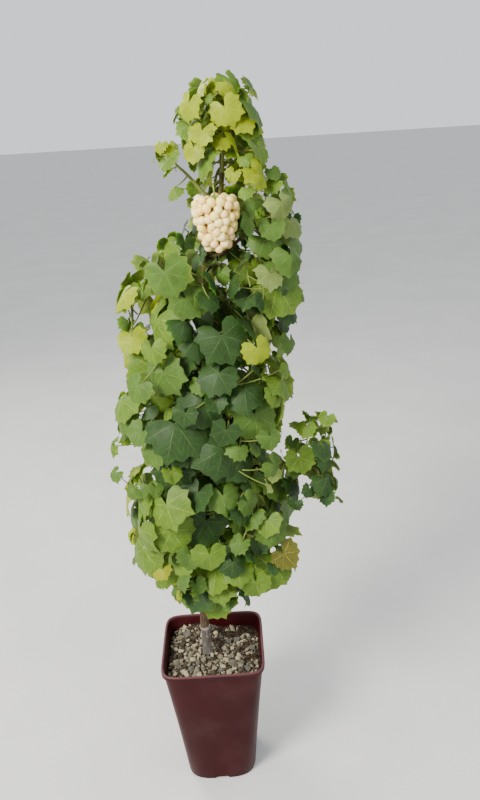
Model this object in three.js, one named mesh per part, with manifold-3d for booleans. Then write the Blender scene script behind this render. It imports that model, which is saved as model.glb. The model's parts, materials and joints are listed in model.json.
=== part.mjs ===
// A young potted grapevine with one pale bunch, standing in a square nursery pot.
// Millimetres, +Z up. The origin is the middle of the pot's flat underside,
// -Y is the side that carries the bunch and +X is to its right.
import * as THREE from 'three';
import { mergeVertices } from 'three/addons/utils/BufferGeometryUtils.js';
import Module from 'manifold-3d';

// Pot: half widths, heights and wall
const POT_HEIGHT = 281;
const RIM_HALF = 100;
const SHOULDER_HALF = 96;
const BASE_HALF = 70;
const BASE_BEVEL = 3;
const WALL = 2.6;
const FLOOR = 3;
const LIP_HEIGHT = 9;
const LIP_ROUND = 1.5;
const LIP_WIDTH = 5;
const RIM_CORNERS = 8;
const BASE_CORNERS = 3.4;
const CORNER_CROWDING = 0.12;
const POT_SIDES = 40;
const NOTCH_WIDTH = 30;
const NOTCH_HEIGHT = 9;
const NOTCH_DEPTH = 10;
const NOTCH_SIDES = 16;

// Clearance between neighbouring pieces
const GAP = 0.3;

// Top of the soil, where the trunk stands
const SOIL_TOP = 250;

// Trunk: its course from the soil to the head, and its radius
const TRUNK_COURSE = [
  [-12, 0, SOIL_TOP + GAP],
  [-13, 3, 400],
  [-2, 8, 600],
  [14, 2, 820],
  [34, 4, 1010],
  [74, 2, 1150],
  [80, 4, 1262],
];
const TRUNK_FOOT_RADIUS = 8.6;
const TRUNK_TIP_RADIUS = 3.4;
const FLARE = 3.6;
const FLARE_LENGTH = 0.035;
const TRUNK_SIDES = 10;
const TRUNK_STEPS = 22;
const TRUNK_HALVINGS = 30;

// Boughs: from the trunk's axis part of the way to the middle of their mass
const BOUGH_RADIUS = 4.2;
const BOUGH_SHARE = 0.7;
const BOUGH_TIP_RADIUS = 2.6;
const BOUGH_SIDES = 6;
const BOUGH_STEPS = 3;
const BOUGH_REACH = 0.6;
const BOUGH_RISE = 55;
const BOUGH_SAG = 0.12;

// Stems inside the masses, and the nodes on them that a leaf's stalk can spring from
const STEM_TIP_RADIUS = 1.6;
const STEM_STEPS = 5;
const STEM_SIDES = 4;
const STEM_NODES = 13;
const FIRST_NODE = 3;
const STEM_LEAD = 14;
const STEM_HEADING = 0.97;
const STEM_BEYOND = 0.35;
const STEM_LIFT = [6, 14];

// Crown outline: height, left reach, right reach, and depth to the front and back
const CROWN = [
  [366, -58, 34, 58],
  [425, -100, 126, 100],
  [490, -138, 198, 128],
  [600, -144, 204, 135],
  [690, -160, 198, 140],
  [790, -140, 186, 135],
  [885, -118, 194, 130],
  [975, -120, 206, 125],
  [1060, -102, 208, 115],
  [1085, -74, 208, 105],
  [1110, -14, 202, 95],
  [1150, 10, 196, 90],
  [1215, 10, 158, 82],
  [1280, 4, 150, 72],
  [1332, 30, 126, 34],
];
const CROWN_POWER = 3;

// Tiers of foliage, each a mass in front of the trunk and one behind it
const TIERS = [
  { name: 'skirt', height: 456, turn: -60, leaves: 17, size: [72, 100] },
  { name: 'lower', height: 625, turn: -120, leaves: 19, size: [76, 106] },
  { name: 'middle', height: 800, turn: -62, leaves: 19, size: [76, 106] },
  { name: 'upper', height: 972, turn: -126, leaves: 18, size: [72, 100] },
];
const SIDES = ['front', 'back'];
const SIDE_REACH = 0.52;
const SIDE_STEP = 38;
const REACH_HEIGHT = 1.3;

// Masses that stand apart from the tiers: the middle, the height of the bough's root
// and, where the mass leaves the crown's outline, how far it reaches
const SINGLES = [
  { name: 'shoulder_front', centre: [140, -36, 1098], root: 1045, leaves: 11, size: [58, 84] },
  { name: 'shoulder_back', centre: [112, 50, 1105], root: 1020, leaves: 11, size: [58, 84] },
  { name: 'side_shoot', centre: [206, -12, 682], root: 596, leaves: 9, size: [54, 76], reach: [260, 70] },
  { name: 'left_spray', centre: [2, -14, 1196], root: 1135, leaves: 3, size: [38, 54], reach: [-26, 40] },
  { name: 'head_front', centre: [84, -34, 1244], root: 1180, leaves: 13, size: [52, 76] },
  { name: 'head_back', centre: [76, 34, 1262], leaves: 12, size: [52, 76] },
];

// Leaf outline: radius at each angle from the tip, as a part of the leaf's width
const LEAF_OUTLINE = [
  [0, 0.62],
  [27, 0.47],
  [52, 0.57],
  [104, 0.49],
  [148, 0.40],
  [180, 0.12],
];
const LEAF_THICKNESS = 1.9;
const LEAF_CREST = 0.14;
const STALK_RADIUS = 1.2;
const STALK_ROOT_RADIUS = 0.9;
const STALK_LENGTH = [16, 110];
const STALK_TURN = 0.35;
const STALK_STEPS = 12;
const STALK_FREE_STEPS = 9;
const STALK_NODE = 0.45;
const DROP_WEIGHT = 0.3;

// A leaf's turn: swing and sway either way, lift of its face, how far its tip hangs
// out and down, and the limits of its bend and fold
const LEAF_SWING = 1.2;
const LEAF_LIFT = [0.05, 1.05];
const LEAF_SWAY = 0.6;
const HANG_OUT = 0.3;
const HANG_DOWN = 0.9;
const TURN_SHRINK = 0.1;
const LEAF_BEND = [0.1, 0.6];
const LEAF_FOLD = [-0.2, 0.25];

// Growth: clearances, number of tries for a place and of turns at each place
const LEAF_CLEAR = 9;
const BLADE_CLEAR = 2;
const TWIG_CLEAR = 2.2;
const CELL_MARGIN = 0.7;
const JUNCTION_MARGIN = 6;
const LEAF_SPACING = 24;
const CROWN_SPREAD = 0.9;
const REACH_SPREAD = 1.2;
const HEIGHT_SPREAD = 110;
const OFF_MIDDLE = 0.01;
const NEAR_LEAVES = 0.62;
const BLADE_RINGS = 4;
const TRIES = 4000;
const TURNS = 5;
const FIRST_SEED = 19;
const SEED_STEP = 101;

// Steps of the rows of balls that foliage keeps clear of
const TRUNK_BALLS = 160;
const BOUGH_BALLS = 40;
const BUNCH_BALLS = 10;

// Bunch of grapes
const BUNCH_TOP = [64, -42, 1151];
const BUNCH_HEIGHT = 92;
const BUNCH_HALF_WIDTH = 40;
const BUNCH_HALF_DEPTH = 31;
const BUNCH_PROFILE = [
  [0, 0.8],
  [0.16, 1],
  [0.45, 0.9],
  [0.75, 0.68],
  [1, 0.4],
];
const BERRY_RADIUS = 10;
const BERRIES = 34;
const CORE_SHARE = 0.6;
const CORE_SIDES = 6;
const PEDUNCLE_ROOT = 1168;
const PEDUNCLE_RADIUS = 1.9;
const PEDUNCLE_SIDES = 5;
const PEDUNCLE_STEPS = 4;
const PEDUNCLE_BEND = [0, 6, 14];
const BUNCH_CLEAR = 37;
const CLEAR_TOP = 25;
const CLEAR_HEIGHT = 50;
const SIGHT_LINE = [0, 40, 80];

// Bare neck of the trunk above the bunch, that foliage leaves in view
const NECK = [1160, 1212];
const NECK_CLEAR = 15;

// Bending a cylinder: half the step that gives its heading, and how steep is upright
const HEADING_STEP = 0.01;
const STEEP = 0.9;
const MERGE_DISTANCE = 1e-5;

const GOLDEN_ANGLE = Math.PI * (3 - Math.sqrt(5));
const DEGREE = Math.PI / 180;

const materials = {
  pot: new THREE.MeshStandardMaterial({ color: 0x52292a, roughness: 0.55, metalness: 0 }),
  soil: new THREE.MeshStandardMaterial({ color: 0xa8a18c, roughness: 0.95, metalness: 0 }),
  bark: new THREE.MeshStandardMaterial({ color: 0x6b5a45, roughness: 0.9, metalness: 0 }),
  leaf: new THREE.MeshStandardMaterial({ color: 0x5f7d32, roughness: 0.6, metalness: 0 }),
  youngLeaf: new THREE.MeshStandardMaterial({ color: 0x9fae3c, roughness: 0.6, metalness: 0 }),
  grape: new THREE.MeshStandardMaterial({ color: 0xebd7b4, roughness: 0.4, metalness: 0 }),
};
const YOUNG = ['head_front', 'head_back', 'left_spray'];

const wasm = await Module();
wasm.setup();

// Seeded chance: the same sequence on every run
let seed = FIRST_SEED;
function chance() {
  seed = (Math.imul(seed, 1664525) + 1013904223) >>> 0;
  return seed / 4294967296;
}
function between(low, high) {
  return low + (high - low) * chance();
}

// Vectors as plain lists
const add = (a, b) => [a[0] + b[0], a[1] + b[1], a[2] + b[2]];
const sub = (a, b) => [a[0] - b[0], a[1] - b[1], a[2] - b[2]];
const scale = (a, s) => [a[0] * s, a[1] * s, a[2] * s];
const dot = (a, b) => a[0] * b[0] + a[1] * b[1] + a[2] * b[2];
const length = (a) => Math.sqrt(dot(a, a));
const unit = (a) => scale(a, 1 / length(a));
const mix = (a, b, t) => add(scale(a, 1 - t), scale(b, t));
const cross = (a, b) => [
  a[1] * b[2] - a[2] * b[1],
  a[2] * b[0] - a[0] * b[2],
  a[0] * b[1] - a[1] * b[0],
];

// Value between the rows of a table whose first column rises
function tableRow(table, key) {
  let row = 0;
  while (row < table.length - 2 && key > table[row + 1][0]) row += 1;
  const low = table[row];
  const high = table[row + 1];
  const t = Math.min(Math.max((key - low[0]) / (high[0] - low[0]), 0), 1);
  return low.map((value, column) => value + (high[column] - value) * t);
}

// Point on a smooth course through the given places, t from 0 to 1
function onCourse(places, t) {
  const spans = places.length - 1;
  const span = Math.min(Math.floor(t * spans), spans - 1);
  const u = t * spans - span;
  const b = places[span];
  const c = places[span + 1];
  const a = span > 0 ? places[span - 1] : sub(scale(b, 2), c);
  const d = span < spans - 1 ? places[span + 2] : sub(scale(c, 2), b);
  return [0, 1, 2].map((axis) => {
    const linear = c[axis] - a[axis];
    const square = 2 * a[axis] - 5 * b[axis] + 4 * c[axis] - d[axis];
    const cube = 3 * b[axis] - 3 * c[axis] + d[axis] - a[axis];
    return b[axis] + 0.5 * u * (linear + u * (square + u * cube));
  });
}

// Where the trunk passes a height, and how far along its course that is
function trunkAt(height) {
  let low = 0;
  let high = 1;
  for (let step = 0; step < TRUNK_HALVINGS; step += 1) {
    const middle = (low + high) / 2;
    if (onCourse(TRUNK_COURSE, middle)[2] < height) low = middle;
    else high = middle;
  }
  return { t: low, point: onCourse(TRUNK_COURSE, low) };
}

function trunkRadius(t) {
  const flare = FLARE * Math.exp(-t / FLARE_LENGTH);
  return TRUNK_FOOT_RADIUS + (TRUNK_TIP_RADIUS - TRUNK_FOOT_RADIUS) * t + flare;
}

function crownAt(height) {
  const [, left, right, depth] = tableRow(CROWN, height);
  return { middle: (left + right) / 2, half: (right - left) / 2, depth };
}

function listMasses() {
  const tiered = TIERS.flatMap((tier) => SIDES.map((side, index) => {
    const angle = (tier.turn + (360 / SIDES.length) * index) * DEGREE;
    const height = tier.height + SIDE_STEP * (index - 0.5);
    const crown = crownAt(height);
    const x = crown.middle + SIDE_REACH * crown.half * Math.cos(angle);
    const centre = [x, SIDE_REACH * crown.depth * Math.sin(angle), height];
    return { ...tier, name: `${tier.name}_${side}`, centre, root: height - BOUGH_RISE };
  }));
  return tiered.concat(SINGLES);
}

const masses = listMasses();

// A mass's own space holds what is nearer to its middle than to any other
function inCell(mass, point, margin) {
  return masses.every((other) => {
    if (other === mass) return true;
    const across = sub(other.centre, mass.centre);
    return dot(sub(point, mass.centre), unit(across)) <= length(across) / 2 - margin;
  });
}

function inCrown(mass, point) {
  if (point[2] < CROWN[0][0] || point[2] > CROWN[CROWN.length - 1][0]) return false;
  if (mass.reach) {
    const away = sub(point, mass.centre).map(Math.abs);
    const [tip, aside] = mass.reach;
    return away[0] < Math.abs(tip - mass.centre[0]) && away[1] < aside && away[2] < REACH_HEIGHT * aside;
  }
  const crown = crownAt(point[2]);
  const across = Math.abs(point[0] - crown.middle) / crown.half;
  const deep = Math.abs(point[1]) / crown.depth;
  return across ** CROWN_POWER + deep ** CROWN_POWER < 1;
}

// Limbs and the bunch as rows of balls that foliage keeps clear of
const balls = [];
function addBalls(course, radiusAt, steps) {
  for (let step = 0; step <= steps; step += 1) {
    balls.push({ point: course(step / steps), radius: radiusAt(step / steps) });
  }
}
function isClear(point, clearance) {
  return balls.every((ball) => {
    const away = sub(point, ball.point);
    return dot(away, away) >= (ball.radius + clearance) ** 2;
  });
}

function boughRadius(mass, t) {
  const rootRadius = Math.min(BOUGH_RADIUS, trunkRadius(trunkAt(mass.root).t) * BOUGH_SHARE);
  return rootRadius + (BOUGH_TIP_RADIUS - rootRadius) * t;
}

function planBough(mass) {
  const root = trunkAt(mass.root).point;
  const tip = mix(root, mass.centre, BOUGH_REACH);
  const bend = mix(root, tip, 0.5);
  bend[2] -= BOUGH_SAG * length(sub(tip, root));
  return [root, bend, tip];
}

// The stem starts at its bough's tip, or at the trunk's, and bends up through its mass
function planStem(mass) {
  const course = mass.bough || TRUNK_COURSE;
  const start = course[course.length - 1];
  const heading = unit(sub(start, onCourse(course, STEM_HEADING)));
  const lead = add(start, scale(heading, STEM_LEAD));
  const middle = add(mass.centre, [0, 0, STEM_LIFT[0]]);
  const last = add(mass.centre, scale(sub(mass.centre, start), STEM_BEYOND));
  return [add(start, scale(heading, GAP)), lead, middle, add(last, [0, 0, STEM_LIFT[1]])];
}

// A point on the stem's straight internodes, t from 0 to 1
function onStem(stem, t) {
  const span = Math.min(Math.floor(t * STEM_STEPS), STEM_STEPS - 1);
  const from = onCourse(stem, span / STEM_STEPS);
  return mix(from, onCourse(stem, (span + 1) / STEM_STEPS), t * STEM_STEPS - span);
}

// Leaf outline all the way round, as [angle, radius as a part of the width]
const RIGHT_OUTLINE = LEAF_OUTLINE.map(([degrees, radius]) => [degrees * DEGREE, radius]);
const OUTLINE = RIGHT_OUTLINE.concat(
  RIGHT_OUTLINE.slice(1, -1).reverse().map(([angle, radius]) => [-angle, radius]),
);

// Rise of a bent and folded blade at x across and y along to the tip
function bladeRise(leaf, x, y) {
  return leaf.fold * Math.abs(x) - (leaf.bend * (x * x + y * y)) / leaf.width;
}

function bladePoint(leaf, x, y) {
  const flat = add(add(leaf.junction, scale(leaf.across, x)), scale(leaf.along, y));
  return add(flat, scale(leaf.normal, bladeRise(leaf, x, y)));
}

// Whether a row of points passes through a leaf's blade, or comes too near to it
function crosses(points, leaf) {
  let above = false;
  let below = false;
  for (const point of points) {
    const away = sub(point, leaf.junction);
    const x = dot(away, leaf.across);
    const y = dot(away, leaf.along);
    const angle = Math.abs(Math.atan2(x, y)) / DEGREE;
    const edge = leaf.width * tableRow(LEAF_OUTLINE, angle)[1];
    if (Math.hypot(x, y) > edge + BLADE_CLEAR) continue;
    const height = dot(away, leaf.normal) - bladeRise(leaf, x, y);
    if (Math.abs(height) < BLADE_CLEAR) return true;
    if (height > 0) above = true;
    else below = true;
  }
  return above && below;
}

// Sample points of a blade, rim first: on each outline point and halfway to the next
function bladeSamples(leaf) {
  const rim = [];
  OUTLINE.forEach(([angle, radius], at) => {
    const [nextAngle, nextRadius] = OUTLINE[(at + 1) % OUTLINE.length];
    rim.push([angle, radius]);
    if (Math.abs(nextAngle - angle) < Math.PI) {
      rim.push([(angle + nextAngle) / 2, (radius + nextRadius) / 2]);
    }
  });
  const samples = [];
  for (let ring = BLADE_RINGS; ring >= 1; ring -= 1) {
    for (const [angle, radius] of rim) {
      const far = (leaf.width * radius * ring) / BLADE_RINGS;
      samples.push(bladePoint(leaf, far * Math.sin(angle), far * Math.cos(angle)));
    }
  }
  return { samples, rimCount: rim.length };
}

function leafFits(mass, leaf, leaves) {
  const { samples, rimCount } = bladeSamples(leaf);
  for (const point of samples.slice(0, rimCount)) {
    if (!inCell(mass, point, CELL_MARGIN) || !inCrown(mass, point)) return false;
  }
  if (!samples.every((point) => isClear(point, LEAF_CLEAR))) return false;
  for (const other of leaves) {
    const near = (other.width + leaf.width) * NEAR_LEAVES;
    if (length(sub(other.junction, leaf.junction)) > near) continue;
    if (crosses(samples, other) || crosses(other.samples, leaf)) return false;
    if (crosses(other.stalk, leaf) || crosses(leaf.stalk, other)) return false;
  }
  leaf.samples = samples;
  return true;
}

function stalkFits(mass, stalk) {
  return stalk.every((point) => inCell(mass, point, TWIG_CLEAR) && isClear(point, TWIG_CLEAR));
}

// The free node that is nearest to a junction, counting a drop from it as farther
function nearestNode(nodes, junction) {
  let nearest = null;
  for (const node of nodes) {
    if (node.taken) continue;
    const drop = Math.max(0, node.point[2] - junction[2]);
    node.away = length(sub(junction, node.point)) + DROP_WEIGHT * drop;
    if (!nearest || node.away < nearest.away) nearest = node;
  }
  return nearest;
}

// One turn of a leaf at a place; later turns at the same place are smaller
function turnLeaf(mass, junction, stalk, outward, turn) {
  const swing = between(-LEAF_SWING, LEAF_SWING);
  const lift = between(...LEAF_LIFT);
  const sway = between(-LEAF_SWAY, LEAF_SWAY);
  const full = between(...mass.size);
  const facing = [
    outward[0] * Math.cos(swing) - outward[1] * Math.sin(swing),
    outward[1] * Math.cos(swing) + outward[0] * Math.sin(swing),
  ];
  const normal = unit([facing[0], facing[1], lift]);
  const hang = [
    HANG_OUT * facing[0] - sway * facing[1],
    HANG_OUT * facing[1] + sway * facing[0],
    -HANG_DOWN,
  ];
  const along = unit(sub(hang, scale(normal, dot(hang, normal))));
  return {
    junction,
    stalk,
    root: stalk[0],
    normal,
    along,
    across: cross(along, normal),
    width: full * (1 - TURN_SHRINK * turn),
    bend: between(...LEAF_BEND),
    fold: between(...LEAF_FOLD),
  };
}

// One try at a leaf: a place for its junction, a free node, then its turns
function tryLeaf(mass, leaves, nodes) {
  const crown = crownAt(mass.centre[2]);
  const spread = mass.reach
    ? Math.abs(mass.reach[0] - mass.centre[0]) * REACH_SPREAD
    : crown.half * CROWN_SPREAD;
  const deep = Math.min(crown.depth, spread) * CROWN_SPREAD;
  const offset = [
    between(-spread, spread),
    between(-deep, deep),
    between(-HEIGHT_SPREAD, HEIGHT_SPREAD),
  ];
  const junction = add(mass.centre, offset);
  if (!inCell(mass, junction, JUNCTION_MARGIN) || !inCrown(mass, junction)) return null;
  if (leaves.some((leaf) => length(sub(leaf.junction, junction)) < LEAF_SPACING)) return null;
  const node = nearestNode(nodes, junction);
  const reach = length(sub(node.point, junction));
  if (reach < STALK_LENGTH[0] || reach > STALK_LENGTH[1]) return null;
  const stalk = [];
  for (let step = 0; step <= STALK_STEPS; step += 1) {
    stalk.push(mix(node.point, junction, step / STALK_STEPS));
  }
  if (!stalkFits(mass, stalk)) return null;
  const heading = unit(sub(junction, node.point));
  const around = crownAt(junction[2]);
  const across = (junction[0] - around.middle) / around.half + OFF_MIDDLE;
  const outward = unit([across, junction[1] / around.depth, 0]);
  for (let turn = 0; turn < TURNS; turn += 1) {
    const leaf = turnLeaf(mass, junction, stalk, outward, turn);
    if (dot(heading, unit(add(leaf.normal, leaf.along))) < STALK_TURN) continue;
    if (crosses(stalk.slice(0, STALK_FREE_STEPS), leaf)) continue;
    if (!leafFits(mass, leaf, leaves)) continue;
    node.taken = true;
    return leaf;
  }
  return null;
}

function growMass(mass) {
  const nodes = [];
  for (let step = FIRST_NODE; step <= STEM_NODES; step += 1) {
    nodes.push({ point: onStem(mass.stem, step / STEM_NODES) });
  }
  const leaves = [];
  for (let attempt = 0; attempt < TRIES && leaves.length < mass.leaves; attempt += 1) {
    const leaf = tryLeaf(mass, leaves, nodes);
    if (leaf) {
      leaves.push(leaf);
      nodes.push({ point: mix(leaf.root, leaf.junction, STALK_NODE) });
    }
  }
  return leaves;
}

// Plan every limb first, so that all foliage keeps clear of all limbs
addBalls((t) => onCourse(TRUNK_COURSE, t), trunkRadius, TRUNK_BALLS);
for (const mass of masses) {
  if (mass.root) {
    mass.bough = planBough(mass);
    addBalls((t) => onCourse(mass.bough, t), (t) => boughRadius(mass, t), BOUGH_BALLS);
  }
  mass.stem = planStem(mass);
}
for (const forward of SIGHT_LINE) {
  const top = sub(BUNCH_TOP, [0, forward, CLEAR_TOP]);
  const bottom = sub(top, [0, 0, CLEAR_HEIGHT]);
  addBalls((t) => mix(top, bottom, t), () => BUNCH_CLEAR, BUNCH_BALLS);
}
for (const forward of SIGHT_LINE) {
  const [bottom, top] = NECK.map((height) => sub(trunkAt(height).point, [0, forward, 0]));
  addBalls((t) => mix(top, bottom, t), () => NECK_CLEAR, BUNCH_BALLS);
}
masses.forEach((mass, index) => {
  seed = FIRST_SEED + SEED_STEP * index;
  mass.grown = growMass(mass);
});

// Closed geometry to a solid, and a solid back to geometry
function toSolid(source) {
  source.deleteAttribute('normal');
  source.deleteAttribute('uv');
  const plain = mergeVertices(source, MERGE_DISTANCE);
  const corners = Array.from(plain.index.array);
  const triangles = [];
  for (let at = 0; at < corners.length; at += 3) {
    const [a, b, c] = corners.slice(at, at + 3);
    if (a !== b && b !== c && c !== a) triangles.push(a, b, c);
  }
  return new wasm.Manifold(new wasm.Mesh({
    numProp: 3,
    vertProperties: new Float32Array(plain.attributes.position.array),
    triVerts: new Uint32Array(triangles),
  }));
}

function toGeometry(solid) {
  const mesh = solid.getMesh();
  return meshGeometry(Array.from(mesh.vertProperties), Array.from(mesh.triVerts));
}

function meshGeometry(coordinates, corners) {
  const geometry = new THREE.BufferGeometry();
  geometry.setAttribute('position', new THREE.BufferAttribute(new Float32Array(coordinates), 3));
  geometry.setIndex(new THREE.BufferAttribute(new Uint32Array(corners), 1));
  return geometry;
}

// Joins solids into one body: a sealed hollow is filled and a loose scrap dropped
function fuse(solids) {
  const joined = solids.reduce((sum, solid) => sum.add(solid));
  const bodies = joined.decompose();
  return bodies.reduce((best, body) => (body.volume() > best.volume() ? body : best));
}

// A round limb: a cylinder bent along a course, its radius a function of the way along
function limbSolid(course, radiusAt, sides, steps) {
  const geometry = new THREE.CylinderGeometry(1, 1, 1, sides, steps);
  const position = geometry.attributes.position;
  for (let index = 0; index < position.count; index += 1) {
    const t = Math.min(Math.max(position.getY(index) + 0.5, 0), 1);
    const after = course(Math.min(t + HEADING_STEP, 1));
    const before = course(Math.max(t - HEADING_STEP, 0));
    const ahead = unit(sub(after, before));
    const aside = unit(cross(Math.abs(ahead[1]) > STEEP ? [1, 0, 0] : [0, 1, 0], ahead));
    const radius = radiusAt(t);
    const first = scale(aside, position.getX(index) * radius);
    const second = scale(cross(ahead, aside), -position.getZ(index) * radius);
    position.setXYZ(index, ...add(course(t), add(first, second)));
  }
  return toSolid(geometry);
}

function trunkSolid(extra) {
  const radiusAt = (t) => trunkRadius(t) + extra;
  return limbSolid((t) => onCourse(TRUNK_COURSE, t), radiusAt, TRUNK_SIDES, TRUNK_STEPS);
}

function boughSolid(mass) {
  const radiusAt = (t) => boughRadius(mass, t);
  const limb = limbSolid((t) => onCourse(mass.bough, t), radiusAt, BOUGH_SIDES, BOUGH_STEPS);
  return fuse([limb.subtract(trunkSolid(GAP))]);
}

// Three corners round a centre, in the plane of two unit directions
function ringOfThree(centre, first, second, radius) {
  return [0, 1, 2].map((corner) => {
    const angle = (corner * 2 * Math.PI) / 3;
    const around = add(scale(first, Math.cos(angle)), scale(second, Math.sin(angle)));
    return add(centre, scale(around, radius));
  });
}

// A leaf on its stalk: the blade is two fans from its crest to the rim, and at the
// junction a ring of three corners carries the stalk on to its root
function leafSolid(leaf) {
  const back = unit(sub(leaf.normal, leaf.along));
  const heading = unit(sub(leaf.junction, leaf.root));
  const rootBack = unit(sub(back, scale(heading, dot(back, heading))));
  const crest = bladePoint(leaf, 0, LEAF_CREST * leaf.width);
  const half = scale(leaf.normal, LEAF_THICKNESS / 2);
  const points = [
    add(crest, half),
    sub(crest, half),
    ...ringOfThree(leaf.junction, back, leaf.across, STALK_RADIUS),
    ...ringOfThree(leaf.root, rootBack, cross(heading, rootBack), STALK_ROOT_RADIUS),
  ];
  const [top, under, ringBack, ringRight, ringLeft, rootTop, rootRight, rootLeft] = points.keys();
  const rim = [];
  OUTLINE.forEach(([angle, radius], at) => {
    if (at === LEAF_OUTLINE.length - 1) {
      rim.push(ringRight, ringBack, ringLeft);
    } else {
      const far = leaf.width * radius;
      rim.push(points.length);
      points.push(bladePoint(leaf, far * Math.sin(angle), far * Math.cos(angle)));
    }
  });
  const corners = [rootTop, rootLeft, rootRight];
  rim.forEach((here, at) => corners.push(top, rim[(at + 1) % rim.length], here));
  const underRim = rim.filter((index) => index !== ringBack);
  underRim.forEach((here, at) => corners.push(under, here, underRim[(at + 1) % underRim.length]));
  const root = [rootTop, rootRight, rootLeft];
  const ring = [ringBack, ringRight, ringLeft];
  for (let side = 0; side < 3; side += 1) {
    const next = (side + 1) % 3;
    corners.push(root[side], root[next], ring[next], root[side], ring[next], ring[side]);
  }
  return toSolid(meshGeometry(points.flat(), corners));
}

function massSolid(mass) {
  const radiusAt = (t) => BOUGH_TIP_RADIUS + (STEM_TIP_RADIUS - BOUGH_TIP_RADIUS) * t;
  const stem = limbSolid((t) => onCourse(mass.stem, t), radiusAt, STEM_SIDES, STEM_STEPS);
  return fuse([stem, ...mass.grown.map(leafSolid)]);
}

// The bunch: berries on a spiral round a tapered core, hung from a stalk on the trunk
function bunchSolid() {
  const width = (t) => tableRow(BUNCH_PROFILE, t)[1];
  const depth = BUNCH_HEIGHT - 2 * BERRY_RADIUS;
  const top = sub(BUNCH_TOP, [0, 0, BERRY_RADIUS]);
  const root = trunkAt(PEDUNCLE_ROOT).point;
  const course = [root, add(BUNCH_TOP, PEDUNCLE_BEND), BUNCH_TOP, sub(top, [0, 0, depth / 2])];
  const peduncle = limbSolid(
    (t) => onCourse(course, t),
    () => PEDUNCLE_RADIUS,
    PEDUNCLE_SIDES,
    PEDUNCLE_STEPS,
  ).subtract(trunkSolid(GAP));
  const outline = BUNCH_PROFILE.map(([t, share]) => new THREE.Vector2(share, -t)).reverse();
  const closed = [new THREE.Vector2(0, -1), ...outline, new THREE.Vector2(0, 0)];
  const core = new THREE.LatheGeometry(closed, CORE_SIDES);
  core.rotateX(Math.PI / 2);
  core.scale(BUNCH_HALF_WIDTH * CORE_SHARE, BUNCH_HALF_DEPTH * CORE_SHARE, depth);
  core.translate(...top);
  const berries = Array.from({ length: BERRIES }, (_, index) => {
    const t = (index + 0.5) / BERRIES;
    const angle = index * GOLDEN_ANGLE;
    const berry = new THREE.IcosahedronGeometry(BERRY_RADIUS, 0);
    berry.rotateZ(angle);
    berry.translate(
      top[0] + (BUNCH_HALF_WIDTH - BERRY_RADIUS) * width(t) * Math.cos(angle),
      top[1] + (BUNCH_HALF_DEPTH - BERRY_RADIUS) * width(t) * Math.sin(angle),
      top[2] - depth * t,
    );
    return toSolid(berry);
  });
  return fuse([toSolid(core), peduncle, ...berries]);
}

// How far a round-cornered square of half width 1 reaches at an angle
function squareReach(cosine, sine, power) {
  return (Math.abs(cosine) ** power + Math.abs(sine) ** power) ** (-1 / power);
}

// Presses a turned shape into a square, its corners rounder towards the pot's base
function squareUp(geometry) {
  const position = geometry.attributes.position;
  for (let index = 0; index < position.count; index += 1) {
    const x = position.getX(index);
    const y = position.getY(index);
    const rise = Math.min(position.getZ(index) / (POT_HEIGHT - LIP_HEIGHT), 1);
    const turned = Math.atan2(y, x);
    const angle = turned + CORNER_CROWDING * Math.sin(4 * turned);
    const cosine = Math.cos(angle);
    const sine = Math.sin(angle);
    const base = squareReach(cosine, sine, BASE_CORNERS);
    const rim = squareReach(cosine, sine, RIM_CORNERS);
    const radius = Math.hypot(x, y) * (base + (rim - base) * rise);
    position.setXY(index, radius * cosine, radius * sine);
  }
}

function squareTurned(profile) {
  const points = profile.map(([radius, height]) => new THREE.Vector2(radius, height));
  const geometry = new THREE.LatheGeometry(points, POT_SIDES);
  geometry.rotateX(Math.PI / 2);
  squareUp(geometry);
  return toSolid(geometry);
}

function innerHalf(height) {
  const share = height / (POT_HEIGHT - LIP_HEIGHT);
  return BASE_HALF + (SHOULDER_HALF - BASE_HALF) * share - WALL;
}

function potSolid() {
  const lipBottom = POT_HEIGHT - LIP_HEIGHT;
  const body = squareTurned([
    [0, 0],
    [BASE_HALF - BASE_BEVEL, 0],
    [BASE_HALF, BASE_BEVEL],
    [SHOULDER_HALF, lipBottom],
    [RIM_HALF - LIP_ROUND, lipBottom],
    [RIM_HALF, lipBottom + LIP_ROUND],
    [RIM_HALF, POT_HEIGHT - LIP_ROUND],
    [RIM_HALF - LIP_ROUND, POT_HEIGHT],
    [0, POT_HEIGHT],
  ]);
  const hollow = squareTurned([
    [0, FLOOR],
    [innerHalf(FLOOR), FLOOR],
    [innerHalf(SOIL_TOP), SOIL_TOP],
    [innerHalf(lipBottom), lipBottom - LIP_ROUND],
    [RIM_HALF - LIP_WIDTH, POT_HEIGHT - LIP_ROUND],
    [RIM_HALF - LIP_WIDTH + LIP_ROUND, POT_HEIGHT],
    [RIM_HALF - LIP_WIDTH + LIP_ROUND, POT_HEIGHT + LIP_ROUND],
    [0, POT_HEIGHT + LIP_ROUND],
  ]);
  const notches = [0, 1, 2, 3].map((side) => {
    const notch = new THREE.CylinderGeometry(1, 1, 2 * NOTCH_DEPTH, NOTCH_SIDES);
    notch.scale(NOTCH_WIDTH / 2, 1, NOTCH_HEIGHT);
    notch.translate(0, BASE_HALF, 0);
    notch.rotateZ((side * Math.PI) / 2);
    return toSolid(notch);
  });
  return notches.reduce((pot, notch) => pot.subtract(notch), body.subtract(hollow));
}

function soilSolid() {
  return squareTurned([
    [0, FLOOR + GAP],
    [innerHalf(FLOOR + GAP) - GAP, FLOOR + GAP],
    [innerHalf(SOIL_TOP) - GAP, SOIL_TOP],
    [0, SOIL_TOP],
  ]);
}

const group = new THREE.Group();

function addPiece(name, solid, material) {
  const mesh = new THREE.Mesh(toGeometry(solid), material);
  mesh.name = name;
  group.add(mesh);
}

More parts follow.
